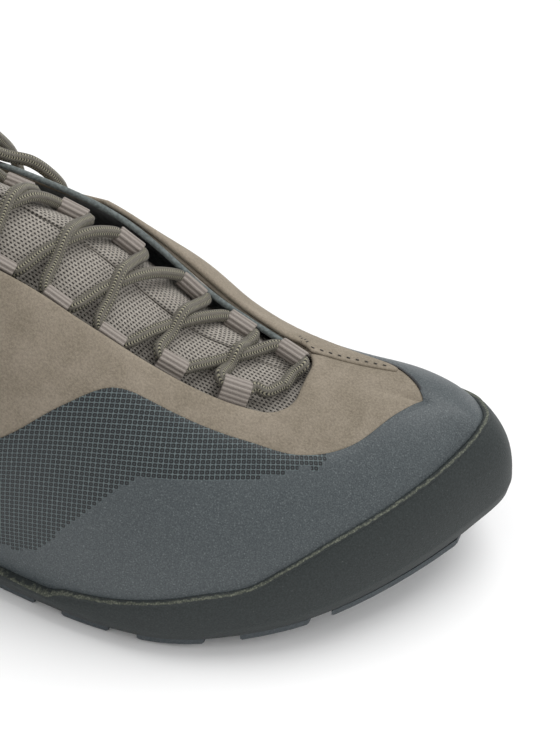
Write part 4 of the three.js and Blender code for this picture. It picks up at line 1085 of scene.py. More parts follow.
@dataclass
class Sole:
    """Lugged outsole, foam midsole and insole."""

    last: Last
    outsole_inset: float = 1.1
    root: float = 0.5  # plate between the lugs
    lug_gap: float = 6.5
    lug_depth: float = 13.0
    centre_width: float = 15.0
    centre_length: float = 14.0
    bevel: float = 0.6
    groove: float = 0.9
    wall: float = 2.0
    insole: float = 3.2
    rand_end: float = 0.42
    rand_fade: float = 0.36
    tread: Finish = Rubber(name="rubber_moulded_tread", base="#3a4044", light="#4d5356", dust="#9a9d9b",
                           roughness=0.75, glue_line=False)
    foam: Finish = Foam()
    bed: Finish = Lining(name="footbed_brushed_knit", light="#5c5f60", dark="#3e4142")

    # Shares of the length between which the edge lugs of each side stand.
    lug_table = (
        (0.05, 0.122), (0.148, 0.22), (0.246, 0.318), (0.344, 0.416), (0.442, 0.51), (0.536, 0.599),
        (0.6285, 0.677), (0.706, 0.769), (0.801, 0.858), (0.876, 0.966),
    )

    def behind_rand(self, along: Array, own: float) -> Array:
        """How far the sole stands in: its own inset, or behind the rand."""
        t = np.clip((along - self.rand_fade) / (self.rand_end - self.rand_fade - 0.012), 0, 1)
        return np.maximum(own, t * (self.last.feather_inset + 0.1))

    def stack(self, rows: Sequence[Callable[[Array], Array]], steps: int = 150) -> Form:
        """Closed form from rings round the shoe, bottom to top, closed across at both ends."""
        u = 2 * np.arange(2 * steps) / (2 * steps)
        rings = np.stack([row(u) for row in rows])
        form = loft(rings, capped=False)
        for ring, flip in ((0, True), (len(rows) - 1, False)):
            base = ring * 2 * steps
            for k in range(steps):
                a, b = base + k, base + k + 1
                c, d = base + (2 * steps - k) % (2 * steps), base + 2 * steps - k - 1
                face = [a, b, d] if k == 0 else ([a, b, c] if k == steps - 1 else [a, b, d, c])
                form.faces.append(face[::-1] if flip else face)
                form.finish_of.append(0)
        return form

    def lug(self, start: float, end: float, outer: Callable[[float], float],
            inner: Callable[[float], float]) -> Form:
        """Bevelled block of tread.

        Args:
            start: share of the length where it begins.
            end: share of the length where it ends.
            outer: Y of its outer side at X.
            inner: Y of its inner side at X.

        Returns:
            The closed form.
        """
        last, bevel, sections = self.last, self.bevel, []
        low, high = last.x_at(start), last.x_at(end)
        middle = np.linspace(low + bevel, high - bevel, 7)
        for x in (low, *middle, high):
            inset = bevel if x in (low, high) else 0.0
            z = float(last.tread(last.along_at(x)))
            edge, deep = outer(x), inner(x)
            sign = 1 if edge < deep else -1
            sections.append([
                (x, edge + sign * bevel, z + inset), (x, deep - sign * bevel, z + inset),
                (x, deep, z + inset + bevel), (x, deep, z + last.lug_height + 0.2),
                (x, edge, z + last.lug_height + 0.2), (x, edge, z + inset + bevel),
            ])
        return loft(np.array(sections, float))

    def build_outsole(self) -> bpy.types.Object:
        """Plate with its edge lugs and centre lugs."""
        last = self.last
        lip = lambda a: last.tread(a) + last.lug_height - self.root
        inset = lambda u: self.behind_rand(last.rim(u)[0], self.outsole_inset)
        forms = [self.stack([lambda u: last.rim_point(u, inset(u) + 0.3, lip),
                             lambda u: last.rim_point(u, inset(u), lambda a: lip(a) + 0.3),
                             lambda u: last.rim_point(u, inset(u), last.plate_top)])]
        for side in Side:
            edge = lambda x, s=side: float(last.edge_y(s, x)) - s.value * (self.outsole_inset + 0.4)
            deep = lambda x, s=side: float(last.edge_y(s, x)) - s.value * self.lug_depth
            forms += [self.lug(start, end, edge, deep) for start, end in self.lug_table]
        along = 0.09
        while along < 0.9:
            x = last.x_at(along)
            low = float(last.edge_y(Side.LATERAL, x)) + self.lug_depth + self.lug_gap
            high = float(last.edge_y(Side.MEDIAL, x)) - self.lug_depth - self.lug_gap
            count = max(int((high - low + self.lug_gap) // (self.centre_width + self.lug_gap)), 1)
            width = (high - low + self.lug_gap) / count - self.lug_gap
            for k in range(count):
                y = low + k * (width + self.lug_gap)
                forms.append(self.lug(along, along + self.centre_length / last.length,
                                      lambda x, y=y: y, lambda x, y=y, w=width: y + w))
            along += (self.centre_length + self.lug_gap) / last.length
        piece = Form.joined(forms).made("outsole_rubber", [self.tread], smooth=False)
        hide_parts("outsole")
        return piece

    def build_midsole(self) -> bpy.types.Object:
        """Foam wedge with a groove along its side."""
        last = self.last

        def level(share: float, inset: float) -> Callable[[Array], Array]:
            def height(a: Array) -> Array:
                return (last.plate_top(a) + last.clearance) * (1 - share) + last.feather(a) * share
            return lambda u: last.rim_point(u, self.behind_rand(last.rim(u)[0], inset), height)
        side = ((0, 1.1), (0.04, 0.7), (0.12, 0.3), (0.3, 0.0), (0.44, 0.05), (0.52, 0.2), (0.55, 0.7),
                (0.57, 1.1), (0.63, 1.2), (0.65, 0.9), (0.68, 0.6), (0.8, 1.2), (0.93, 2.0), (1.0, 2.6))
        within = last.feather_inset + 0.6 + self.wall
        rows = [level(share, inset) for share, inset in side]
        rows += [lambda u: last.rim_point(u, within + 0.4, last.feather),
                 lambda u: last.rim_point(u, within + 0.9, last.footbed)]
        piece = self.stack(rows).made("midsole_foam", [self.foam])
        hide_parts("midsole")
        return piece

    def build_insole(self) -> bpy.types.Object:
        """Footbed, with a raised rim and a cushioned top."""
        last = self.last
        within = last.feather_inset + 0.6 + self.wall
        base = lambda a: last.footbed(a) + last.clearance
        rows = [lambda u: last.rim_point(u, within + 1.0, base)]
        for inset, up in ((0.9, 0.5), (1.3, 0.85), (2.4, 1.0), (5.0, 0.97), (9.0, 0.93), (14.0, 0.9)):
            rows.append(lambda u, i=inset, h=up: last.rim_point(u, within + i, lambda a: base(a) + self.insole * h))
        piece = self.stack(rows).made("insole_footbed", [self.bed])
        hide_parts("insole")
        return piece


@dataclass
class Rand:
    """Moulded rubber band round toe and forefoot."""

    last: Last
    toe_height: float = 26.0
    strip_height: float = 6.2
    step_start: float = 0.612
    step_end: float = 0.636
    end: float = 0.42
    lip: float = 1.5
    rubber: Finish = Rubber()

    height_table = Table(("height",), (
        (0.636, 0.34), (0.68, 0.435), (0.73, 0.56), (0.77, 0.635), (0.81, 0.65), (0.845, 0.785),
        (0.88, 0.89), (0.93, 0.95), (0.965, 0.985), (1.0, 1.02),
    ))

    def top_rise(self, u: Array) -> Array:
        """Rise of its top edge round the shoe."""
        last = self.last
        along = last.rim(u)[0]
        tall = self.height_table.read("height", along) * self.toe_height
        height = self.strip_height + (tall - self.strip_height) * ramp(along, self.step_start, self.step_end)
        target = last.tread(along) + last.lug_height + height
        return last.rise_where(u, lambda rise: last.skin_at(u, rise)[..., 2] < target)

    def build(self) -> bpy.types.Object:
        """Band with a bevel under its widest line and a fine double lip at its top."""
        last = self.last
        first = np.arccos(1 - 2 * self.end) / np.pi
        u = np.linspace(first, 2 - first, 460)
        top = self.top_rise(u)
        low = lambda a: last.tread(a) + last.lug_height + last.clearance
        thick = last.feather_inset - last.clearance
        inner = [last.rim_point(u, thick, low), last.rim_point(u, thick, last.feather)]
        inner += [last.skin(u, top * q, 0.15) for q in (0.25, 0.5, 0.75, 1.0)]
        length = np.linalg.norm(last.skin_at(u, top) - last.skin_at(u, top * 0.5), axis=1)
        tip = ramp(last.rim(u)[0], 0.93, 0.985)
        outer = [last.rim_point(u, 1.3, low), last.rim_point(u, 0.9, lambda a: low(a) + 0.5),
                 last.rim_point(u, 0.12, lambda a: last.feather(a) - 1.3),
                 last.rim_point(u, 0.0, lambda a: last.feather(a) - 0.7)]
        shares = list(np.linspace(0.02, 0.9, 12)) + list(np.linspace(0.91, 1.0, 14))
        for q in shares:
            back = (1 - q) * 2 * length
            out = last.feather_inset - 0.6 * q - (1.2 - 0.8 * tip) * q * q
            out = out - 0.28 * hump(back, 1.5, 0.4) + 0.12 * hump(back, 0.75, 0.35) - 0.7 * hump(back, 0.0, 0.35)
            outer.append(last.skin(u, top * q, out))
        distance = [np.full(len(u), 40.0)] * 4 + [(1 - q) * 2 * length for q in shares]
        rows = inner[::-1] + outer
        sections = np.stack(rows, axis=1)
        form = loft(sections)
        edge = np.stack([np.full(len(u), 40.0)] * len(inner) + distance, axis=1)
        form.values["edge"] = edge.reshape(-1)
        piece = form.made("rand_rubber", [self.rubber])
        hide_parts("rand")
        return piece


@dataclass
class Upper:
    """Suede shell, bonded film, eyestay strip and the padded edge inside the throat."""

    last: Last
    rand: Rand
    wall: float = 2.0
    film: float = 0.55
    strip: float = 1.1
    suede: Finish = Suede()
    lining: Finish = Lining()
    bonded: Finish = BondedFilm()
    thread: Finish = Plain()
    edging: Finish = Lining(name="edging_padded_polyester", light="#6b7271", dark="#4f5655")

    film_table = Table(("lateral", "medial"), (
        (0.0, 0.36, 0.36), (0.12, 0.22, 0.22), (0.3, 0.15, 0.15), (0.45, 0.19, 0.19), (0.55, 0.34, 0.3),
        (0.61, 0.5, 0.42), (0.655, 0.61, 0.47), (0.7, 0.64, 0.49), (0.8, 0.645, 0.53), (0.86, 0.63, 0.59),
        (0.91, 0.68, 0.65), (0.955, 0.83, 0.8), (1.0, 0.97, 0.97),
    ))
    # Lower edge of the dimpled window on the outer side, as a rise; past its tip it lies above the film.
    window_table = Table(("low",), (
        (0.3, 0.2), (0.4, 0.07), (0.5, 0.06), (0.565, 0.08), (0.6, 0.12), (0.624, 0.2), (0.651, 0.29),
        (0.679, 0.385), (0.7, 0.445), (0.741, 0.485), (0.79, 0.515), (0.83, 0.545), (0.857, 0.585),
        (0.885, 0.66), (0.9, 1.3), (1.0, 1.4),
    ))
    row_radius: float = 117.0  # rows of dimples bend round this where the flat film follows the form
    row_middle: float = 225.4
    seam = ((0.795, 0.14), (0.842, 0.165), (0.885, 0.19))
    strip_end: float = 0.875
    shaded_gap_turns = (1.25, 1.14)  # ends of the painted shade along the film's top edge at the strip's end, as turns
    stitch_pitch: float = 2.5
    far_reach: float = 3.2  # how much further the suede covers the throat on the inner side
    padding: float = 0.9  # radius of the padded edge inside the throat
    creases = (
        Crease((104.0, 4.0, 56.0), (0.2, 1.0, 0.0), 16.0, 9.0, -0.7),
        Crease((60.0, -34.0, 55.0), (1.0, 0.2, -0.3), 22.0, 8.0, 0.5),
        Crease((20.0, -30.0, 62.0), (1.0, -0.3, -0.6), 26.0, 9.0, -0.5),
        Crease((-20.0, -30.0, 70.0), (0.8, 0.0, -0.7), 22.0, 7.0, 0.6),
        Crease((60.0, 36.0, 56.0), (1.0, -0.2, -0.3), 24.0, 9.0, -0.5),
        Crease((-60.0, 28.0, 55.0), (0.4, 0.0, 1.0), 22.0, 8.0, -0.6),
        Crease((-60.0, -28.0, 55.0), (0.4, 0.0, 1.0), 22.0, 8.0, -0.6),
        Crease((119.5, 27.5, 47.0), (1.0, -0.45, 0.0), 20.0, 9.0, 1.1),
        Crease((52.0, 31.0, 60.0), (1.0, 0.0, -0.9), 17.0, 12.0, 2.5),
    )

    def lift(self, places: Array) -> Array:
        """Soft form of the creases."""
        return sum(crease.lift(places) for crease in self.creases)

    def film_rise(self, u: Array) -> Array:
        """Rise of the film's top edge round the shoe."""
        along, _, out = self.last.rim(u)
        lateral = self.film_table.read("lateral", along)
        medial = self.film_table.read("medial", along)
        return (lateral + medial) / 2 + out[..., 1] * (medial - lateral) / 2

    def slopes(self, value: Array, along: Array, up: Array) -> tuple[Array, Array]:
        """Change of a value per millimetre along and up the film.

        Args:
            value: the value at each place of the whole skin.
            along: chart along the film.
            up: chart up the film.

        Returns:
            Its change along and its change up.
        """
        shape = (self.last.steps_up + 1, 2 * self.last.steps_along)
        turn, climb = zip(*(np.gradient(a.reshape(shape)) for a in (value, along, up)))
        size = turn[1] * climb[2] - climb[1] * turn[2]
        size = np.where(np.abs(size) < 1e-6, 1e-6, size)
        change_along = (turn[0] * climb[2] - climb[0] * turn[2]) / size
        change_up = (turn[1] * climb[0] - climb[1] * turn[0]) / size
        return np.clip(change_along, -3, 3).ravel(), np.clip(change_up, -3, 3).ravel()

    def marked_skin(self) -> Panel:
        """The last's skin with the distances that its panels are cut by."""
        panel = self.last.whole_skin()
        v = panel.values
        turn = v["u"]
        scale = np.linalg.norm(self.last.skin_at(turn, np.clip(v["rise"] + 0.02, 0, 1))
                               - self.last.skin_at(turn, np.clip(v["rise"] - 0.02, 0, 1)), axis=1) / 0.04
        scale = np.maximum(scale, 20.0)
        ring = 2 * np.arange(800) / 800
        film = np.interp(turn, np.append(ring, 2.0), np.append(self.film_rise(ring), self.film_rise(ring[:1])))
        tops = self.rand.top_rise(ring)
        top = np.interp(turn, np.append(ring, 2.0), np.append(tops, tops[:1]))
        along = self.last.rim(turn)[0]
        top = np.where(along > self.rand.end - 0.02, top, 0.02)
        v["below_film"] = (film - v["rise"]) * scale
        v["above_rand"] = (v["rise"] - top) * scale
        inner_side = ramp(panel.places[:, 1], 6.0, 10.0) * (turn > 1)
        cover = ramp(self.last.along_at(panel.places[:, 0]), 0.38, 0.46) \
            * ramp(-self.last.along_at(panel.places[:, 0]), -0.8, -0.76)
        v["throat"] = self.last.throat_distance(panel.places) + self.far_reach * inner_side * cover
        v["collar"] = self.last.collar_distance(panel.places)
        low = self.window_table.read("low", along)
        window = np.minimum((v["rise"] - low) * scale * 0.9, (along - 0.3) * 290)
        v["window"] = np.where((turn > 1) | (along < 0.3), -5.0, window)
        v["across_film"] = v["climb"] + (v["run"] - self.row_middle) ** 2 / (2 * self.row_radius)
        v["along_film"] = v["run"] + 0.045 * v["climb"]
        v["slope_along"], v["slope_up"] = self.slopes(window, v["along_film"], v["across_film"])
        # gap value: where painted shade darkens the film's top edge at the strip's end
        start, end = (self.last.skin(np.array(t), self.film_rise(np.array(t))) for t in self.shaded_gap_turns)
        share = np.clip(((panel.places - start) @ (end - start)) / ((end - start) @ (end - start)), 0, 1)
        off = np.linalg.norm(panel.places - (start + share[:, None] * (end - start)), axis=1)
        v["gap"] = ramp(-off, -6.0, -3.0) * ramp(-v["below_film"], -1.2, -0.3)
        v["lift"] = self.lift(panel.places)
        seam = np.array(self.seam)
        across = np.interp(self.last.along_at(panel.places[:, 0]), seam[:, 0], seam[:, 1])
        v["inner"] = panel.places[:, 1] - across * self.last.ball_width
        v["short"] = self.last.x_at(self.strip_end) - panel.places[:, 0] - 0.06 * (panel.places[:, 1] - 16)
        return panel

    def build(self) -> list[bpy.types.Object]:
        """Suede shell, film and eyestay strip."""
        marked = self.marked_skin()
        upper = marked.cut("throat", 0.9).cut("collar", 0.9)
        v = upper.values
        near = np.minimum(v["collar"], 40)
        pad = 1.6 * ramp(near, 0.5, 5) * (1 - ramp(near, 9, 22))
        roll = 0.45 * np.exp(-np.maximum(v["throat"] - 0.9, 0) / 1.6)
        outer = v["lift"] + pad - roll
        inner = v["lift"] - self.wall - 2.2 * pad
        upper.values = {"chart": np.column_stack([v["run"], v["climb"], v["throat"]])}
        shell_piece = shell(upper, outer, inner, 4).made("upper_suede", [self.suede, self.lining])
        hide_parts("upper")
        film = marked.cut("below_film", 0.2).cut("above_rand", -0.6).cut("collar", 0.9)
        v = film.values
        edge = np.minimum(v["below_film"], 6)
        outer = v["lift"] + 0.2 + self.film * (0.35 + 0.65 * ramp(edge, 0.0, 2.5))
        # the gap value marks where painted shade darkens the film's top edge
        film.values = {"chart": np.column_stack([v["along_film"], v["across_film"], v["below_film"]]),
                       "window": v["window"], "gap": v["gap"],
                       "slope": np.column_stack([v["slope_along"], v["slope_up"], np.zeros_like(v["gap"])])}
        film_piece = shell(film, outer, v["lift"] + 0.04, 3).made("film_bonded", [self.bonded, self.lining])
        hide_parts("film_overlay")
        return [shell_piece, film_piece, self.build_strip(marked)]

    def build_strip(self, marked: Panel) -> bpy.types.Object:
        """Eyestay laid over the inner side."""
        medial = marked.cut("u", 1.0001)
        strip = medial.cut("below_film", -30.0)
        strip.values["above_film"] = -strip.values["below_film"]
        strip = strip.cut("above_film", 1.0).cut("throat", 0.4).cut("collar", 0.4).cut("inner", 0.3)
        strip = strip.cut("short", 0.3)
        v = strip.values
        edge = np.minimum(np.minimum(v["above_film"], v["inner"]), v["short"])
        outer = v["lift"] + 0.1 + self.strip * (0.55 + 0.45 * ramp(edge, 1.0, 3.0))
        strip.values = {"chart": np.column_stack([v["run"], v["climb"], v["inner"]])}
        piece = shell(strip, outer, v["lift"] - 0.3, 4).made("eyestay_suede", [self.suede, self.suede])
        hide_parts("eyestay_strip")
        return piece


    def stitch(self, middle: Array, ahead: Array, normal: Array, length: float) -> Form:
        """Short half-sunk thread."""
        aside = np.cross(normal, ahead)
        angle = 2 * np.pi * np.arange(8) / 8
        ring = np.cos(angle)[:, None] * aside + 0.8 * np.sin(angle)[:, None] * normal
        return loft(np.array([middle + ahead * length * s + ring * size for s, size in (
            (-0.5, 0.04), (-0.42, 0.17), (0.0, 0.22), (0.42, 0.17), (0.5, 0.04))]))

    def build_threads(self, loop_places: Sequence[float]) -> bpy.types.Object:
        """Seam of the eyestay, and the tacks that hold the inner side's loops.

        Args:
            loop_places: X of the loops on the inner side.

        Returns:
            One piece with all stitches.
        """
        last, seam, forms = self.last, np.array(self.seam), []
        ahead = np.array([1.0, 0.0, 0.0])
        for x in np.arange(last.x_at(seam[0, 0]), last.x_at(self.strip_end) - 1.5, self.stitch_pitch):
            y = np.interp(last.along_at(x), seam[:, 0], seam[:, 1]) * last.ball_width + 1.1
            middle, normal = last.spot(x, y, 0.75 * self.strip)
            forms.append(self.stitch(middle, unit(ahead - normal * normal[0]), normal, 1.1))
        for place in loop_places:
            for k in range(-1, 3):
                x = place + 0.9 * k
                y = (last.throat_centre + float(last.throat_table.read("medial", last.along_at(x)))) * last.ball_width
                middle, normal = last.spot(x, y - 0.2 + 0.5 * (k % 2), self.strip + 0.05)
                across = np.array([0.25, 1.0, 0.0])
                forms.append(self.stitch(middle, unit(across - normal * np.dot(normal, across)), normal, 1.6))
        piece = Form.joined(forms).made("threads_polyester", [self.thread])
        return piece

    def build_edging(self, side: Side) -> bpy.types.Object:
        """Padded roll under the suede along the throat."""
        last, route = self.last, []
        for along in np.linspace(0.425, 0.775, 60):
            share = float(last.throat_table.read(side.label, along))
            y = (last.throat_centre + share) * last.ball_width - side.value * (0.3 + self.far_reach)
            route.append(last.spot(float(last.x_at(along)), y, -self.padding - 0.5)[0])
        piece = tube(np.array(route), self.padding, 20).made(f"edging_{side.label}", [self.edging])
        return piece


@dataclass
class Tongue:
    """Padded knit tongue."""

    last: Last
    thickness: float = 3.6
    depth: float = 10.1
    crown: float = -1.6
    far_fill: float = 3.4  # how much the knit swells up against the inner side's padded edge
    lateral: float = 34.0
    medial: float = 26.0
    back: float = 0.335
    front: float = 0.845
    knit: Finish = AirKnit()

    table = Table(("drop", "crown", "width"), (
        (0.335, 0.832, 1.0, 0.9), (0.45, 1.0, 1.0, 0.94), (0.6, 1.0, 1.0, 1.0), (0.68, 0.9, 0.83, 0.95),
        (0.74, 0.733, 0.375, 0.85), (0.8, 0.564, 0.04, 0.7), (0.845, 0.495, 0.0, 0.5),
    ))

    def reach(self, side: Side, along: Array) -> Array:
        """How far it reaches from the crest on one side."""
        return (self.lateral if side is Side.LATERAL else self.medial) * self.table.read("width", along)

    def top(self, along: Array, middle: Array) -> Array:
        """How far its top lies off the last; middle is 0 at its edge and 1 on the crest."""
        return (self.table.read("crown", along) * self.crown * middle * middle
                - self.table.read("drop", along) * self.depth)

    def top_at(self, x: float, y: float) -> float:
        """The same above a place in plan."""
        along = np.array(self.last.along_at(x))
        offset = y - float(self.last.crest_table.read("across", along)) * self.last.ball_width
        side = Side.LATERAL if offset < 0 else Side.MEDIAL
        return float(self.top(along, max(1 - abs(offset) / float(self.reach(side, along)), 0)))

    def build(self) -> bpy.types.Object:
        """Plate that follows the last under the lace, crowned in its middle."""
        last = self.last
        rows, steps = 170, 44
        share = np.linspace(self.back, self.front, rows)
        along = (share - last.crest_start) / (last.crest_end - last.crest_start)
        turn = np.arccos(1 - 2 * along) / np.pi
        halves = []
        for side in (Side.LATERAL, Side.MEDIAL):
            u = turn if side is Side.LATERAL else 2 - turn
            crest = last.skin_at(u, 1.0)
            wide = self.reach(side, share)
            low = last.rise_where(u, lambda rise: np.linalg.norm(
                last.skin_at(u, rise)[..., :2] - crest[..., :2], axis=-1) > wide)
            middle = np.linspace(0, 1, steps)[None, :]
            rise = low[:, None] + (1 - low[:, None]) * middle
            places = last.skin_at(u[:, None], rise)
            normals = last.normal_at(u[:, None], rise)
            out = self.top(share[:, None], middle)
            if side is Side.MEDIAL:
                out = out + self.far_fill * ramp(-middle, -1.0, -0.3)
            halves.append((places, normals, out + np.zeros_like(rise)))
        lateral, medial = halves
        normal = unit(lateral[1][:, -1] + medial[1][:, -1])
        lateral[1][:, -1] = normal
        places, normals, out = (np.concatenate([lateral[k], medial[k][:, -2::-1]], axis=1) for k in range(3))
        puff = 0.35 * np.sin(places[..., 0] / 16.7 * 2 * np.pi) * ramp(-np.abs(out + 8.5), -2.5, 0)
        top = places + normals * (out + puff)[..., None]
        run = np.concatenate([np.zeros((1, top.shape[1])), np.cumsum(np.linalg.norm(np.diff(top, axis=0), axis=2), 0)])
        across = np.cumsum(np.linalg.norm(np.diff(top, axis=1), axis=2), axis=1)
        across = np.concatenate([np.zeros((rows, 1)), across], axis=1)
        across -= across[:, steps - 1:steps]
        count = top.shape[1]
        ids = np.arange(rows * count).reshape(rows, count)
        a, b, c, d = ids[:-1, :-1], ids[1:, :-1], ids[1:, 1:], ids[:-1, 1:]
        triangles = np.concatenate([np.stack([a, b, c], -1).reshape(-1, 3), np.stack([a, c, d], -1).reshape(-1, 3)])
        run_mid = run[:, steps - 1:steps] + np.zeros_like(run)
        panel = Panel(places.reshape(-1, 3), normals.reshape(-1, 3),
                      {"chart": np.column_stack([run_mid.ravel(), across.ravel(), np.zeros(rows * count)])}, triangles)
        offset = (out + puff).ravel()
        piece = shell(panel, offset, offset - self.thickness, 4).made("tongue_knit", [self.knit, self.knit])
        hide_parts("tongue")
        return piece


@dataclass
class LoopFrame:
    """Middle of a webbing loop and its directions."""

    middle: Array
    normal: Array
    to_toe: Array
    outward: Array
    x: float


@dataclass
class Lacing:
    """Webbing loops, the lace through them, and its bow."""

    last: Last
    tongue: Tongue
    diameter: float = 3.4
    room: float = 0.2
    ring_above: float = 1.45
    webbing: float = 0.75
    sag: float = 0.4
    width: float = 8.2
    tail: float = 1.2
    tail_reach: float = 3.4
    tail_above: float = 0.9
    loops: int = 7
    rib_pitch: float = 1.3
    rib_height: float = 0.1
    tip_length: float = 20.0
    ribbon: Finish = Webbing()
    braid: Finish = Braid()
    sleeve: Finish = Plain(name="sleeve_shrunk_plastic", light="#4a4741", dark="#322f2b", roughness=0.3)

    first = {Side.LATERAL: 15.3, Side.MEDIAL: 7.7}
    ahead = {Side.LATERAL: (0, 0, 0, 0, 0, 0, 0), Side.MEDIAL: (1.2, 1.8, 3.0, 1.8, 0.8, 0.4, 0)}
    rear = {Side.LATERAL: 0.4134, Side.MEDIAL: 0.443}
    reach = {Side.LATERAL: (5.6, 4.2, 0.9, 0.6, 0.6, 0.6, 0.6),
             Side.MEDIAL: (4.9, 4.6, 3.2, 4.6, 4.8, 4.8, 4.8)}
    raised = {Side.LATERAL: (0, 0, 0, 0, 0, 0, 0), Side.MEDIAL: (0, 0.4, 2.2, 0.8, 0, 0, 0)}
    bar = {Side.LATERAL: (82.6, -3.4), Side.MEDIAL: (86.8, 6.6)}
    knot = (-39.0, 6.0, 121.4)
    knot_size = (11.0, 12.0, 8.6)
    bows = {
        Side.MEDIAL: (
            (-37, 13.2, 124.2), (-31.4, 18.8, 117.6), (-24.5, 22.4, 107.6), (-16.4, 25.2, 98.2), (-8.6, 28.8, 91),
            (-2, 32.6, 87), (3, 35.2, 80.4), (4.8, 37.8, 73), (2.2, 39.8, 66.6), (-4, 40.6, 64.8),
            (-12, 40.2, 68.6), (-20, 38.6, 77), (-27, 35.2, 88.6), (-33, 30, 100.6), (-38, 22.8, 111.6),
            (-41.6, 14, 119.6)),
        Side.LATERAL: (
            (-37, -0.9, 123.4), (-33.6, -7, 121.6), (-29, -14.6, 116.2), (-25, -22, 106.6), (-22, -28.4, 94.6),
            (-20.6, -33.8, 81.4), (-22.6, -37.6, 70.6), (-28.4, -39, 65), (-34.8, -37.2, 69.4),
            (-38.8, -33.4, 80.4), (-41.2, -27.6, 93.4), (-42.6, -19.6, 105.8), (-42.8, -10.4, 115),
            (-41.6, -2.4, 119.8)),
    }
    ends = {
        Side.MEDIAL: (
            (-39.6, 9, 128), (-33.6, 15.2, 127.4), (-26.6, 21.2, 120.4), (-20, 26, 109.6), (-15, 30.2, 99.4),
            (-12, 34.2, 90.8), (-11.4, 38.8, 82.6), (-11.6, 42.6, 74.4), (-11.8, 44.9, 67.4)),
        Side.LATERAL: (
            (-45.3, 2.6, 122.2), (-49.4, -3.6, 119.4), (-52.4, -12.4, 112.4), (-54, -21.4, 102),
            (-55, -29.4, 88.6), (-55.4, -35.4, 74.6), (-55.2, -38.6, 61.4)),
    }
    lean = {Side.MEDIAL: -0.2, Side.LATERAL: 0.1}

    def throat_y(self, side: Side, along: float) -> float:
        """Y of the throat's edge."""
        share = float(self.last.throat_table.read(side.label, np.array(along)))
        return (self.last.throat_centre + share) * self.last.ball_width

    def ring_radius(self) -> tuple[float, float]:
        """Inner and outer radius of a loop's ring."""
        inner = self.diameter / 2 + self.room
        return inner, inner + self.webbing

    def frame(self, side: Side, k: int) -> LoopFrame:
        """Place of one loop; 0 is at the toe."""
        front = self.last.x_at(self.last.throat_front) - self.first[side]
        x = front + (self.last.x_at(self.rear[side]) - front) * k / (self.loops - 1) + self.ahead[side][k]
        inset = -side.value * self.reach[side][k]
        above = self.ring_radius()[1] + self.ring_above + self.raised[side][k]
        lifted = lambda px, py: above + self.tongue.top_at(px, py)
        y = self.throat_y(side, self.last.along_at(x)) + inset
        middle, normal = self.last.spot(x, y, lifted(x, y))
        step = 0.01
        ahead_x = x + step * self.last.length
        ahead_y = self.throat_y(side, self.last.along_at(x) + step) + inset
        to_toe = self.last.spot(ahead_x, ahead_y, lifted(ahead_x, ahead_y))[0] - middle
        to_toe = unit(to_toe - normal * np.dot(to_toe, normal))
        return LoopFrame(middle, normal, to_toe, np.cross(normal, to_toe) * side.value, x)

    def build_loop(self, side: Side, k: int) -> bpy.types.Object:
        """Folded webbing round the lace, its ribs along the shoe, with its tail under the suede."""
        at = self.frame(side, k)
        inner, outer = self.ring_radius()
        middle_radius = (inner + outer) / 2
        tail_y = self.throat_y(side, self.last.along_at(at.x)) + side.value * self.tail_reach
        end = self.last.spot(at.x, tail_y, self.tongue.top_at(at.x, tail_y) + self.tail_above + self.tail / 2)[0]
        end = np.array([np.dot(end - at.middle, at.outward), np.dot(end - at.middle, at.normal)])
        facing = math.atan2(end[1], end[0])
        spread = math.acos(min(middle_radius / np.linalg.norm(end), 0.98))
        angles = np.linspace(facing + spread, facing + 2 * math.pi - spread, 90)
        arc = middle_radius * np.column_stack([np.cos(angles), np.sin(angles)])
        aside = unit(np.array([-end[1], end[0]])) * self.tail / 4
        if np.dot(aside, arc[0] - end) < 0:
            aside = -aside
        leads = [np.linspace(a, b, 26)[:-1] for a, b in ((end + aside, arc[0]),)]
        back = np.linspace(arc[-1], end - aside, 26)[1:]
        path = np.vstack([leads[0], arc, back])
        run = np.concatenate([[0], np.cumsum(np.linalg.norm(np.diff(path, axis=0), axis=1))])
        ahead = unit(np.gradient(path, axis=0))
        out = np.column_stack([ahead[:, 1], -ahead[:, 0]])
        if np.dot(out[len(path) // 2], path[len(path) // 2]) < 0:
            out = -out
        thin = np.where((np.arange(len(path)) < 12) | (np.arange(len(path)) > len(path) - 13), self.tail / 4,
                        self.webbing / 2)
        rib = np.cos(2 * np.pi * run / self.rib_pitch)
        rib = np.sign(rib) * np.abs(rib) ** 0.6
        sections, charts = [], []
        half = self.width / 2
        for w, share in ((-half, 0.4), (-half + 0.12, 0.85), (-half + 0.4, 1.0), (-half / 2, 1.0), (0, 1.0),
                         (half / 2, 1.0), (half - 0.4, 1.0), (half - 0.12, 0.85), (half, 0.4)):
            face = path + out * (thin * share + self.rib_height * rib * share)[:, None]
            under = path - out * (thin * share)[:, None]
            loop = np.vstack([face, under[::-1]])
            sections.append(at.middle + loop[:, :1] * at.outward + loop[:, 1:] * at.normal + w * at.to_toe)
            chart = np.column_stack([run, np.full(len(run), w), rib])
            # under face: a set rib value that gives it the darker groove tone, painted shade under the fold
            dull = np.column_stack([run, np.full(len(run), w), np.full(len(run), -0.4)])
            charts.append(np.vstack([chart, dull[::-1]]))
        form = loft(np.array(sections), capped=False)
        around = 2 * len(path)
        for base, flip in ((0, False), ((len(sections) - 1) * around, True)):
            for n in range(len(path) - 1):
                quad = [base + n, base + n + 1, base + around - n - 2, base + around - n - 1]
                form.faces.append(quad[::-1] if flip else quad)
                form.finish_of.append(0)
        form.values["chart"] = np.vstack(charts)
        piece = form.made(f"webbing_{side.label}_{k + 1}", [self.ribbon])
        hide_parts(f"lace_loop_{side.label}_{k + 1}")
        return piece

    def through(self, side: Side, k: int) -> list[Array]:
        """Run of the lace through one loop, from toe to heel, with its turns."""
        at = self.frame(side, k)
        edge, lead, turn, inwards = self.width / 2, -0.9, 1.0, 1.9
        place = lambda ahead, into: at.middle + at.to_toe * ahead - at.outward * into
        return [place(edge + turn, inwards), place(edge + lead, 0), place(-edge - lead, 0),
                place(-edge - turn, inwards)]

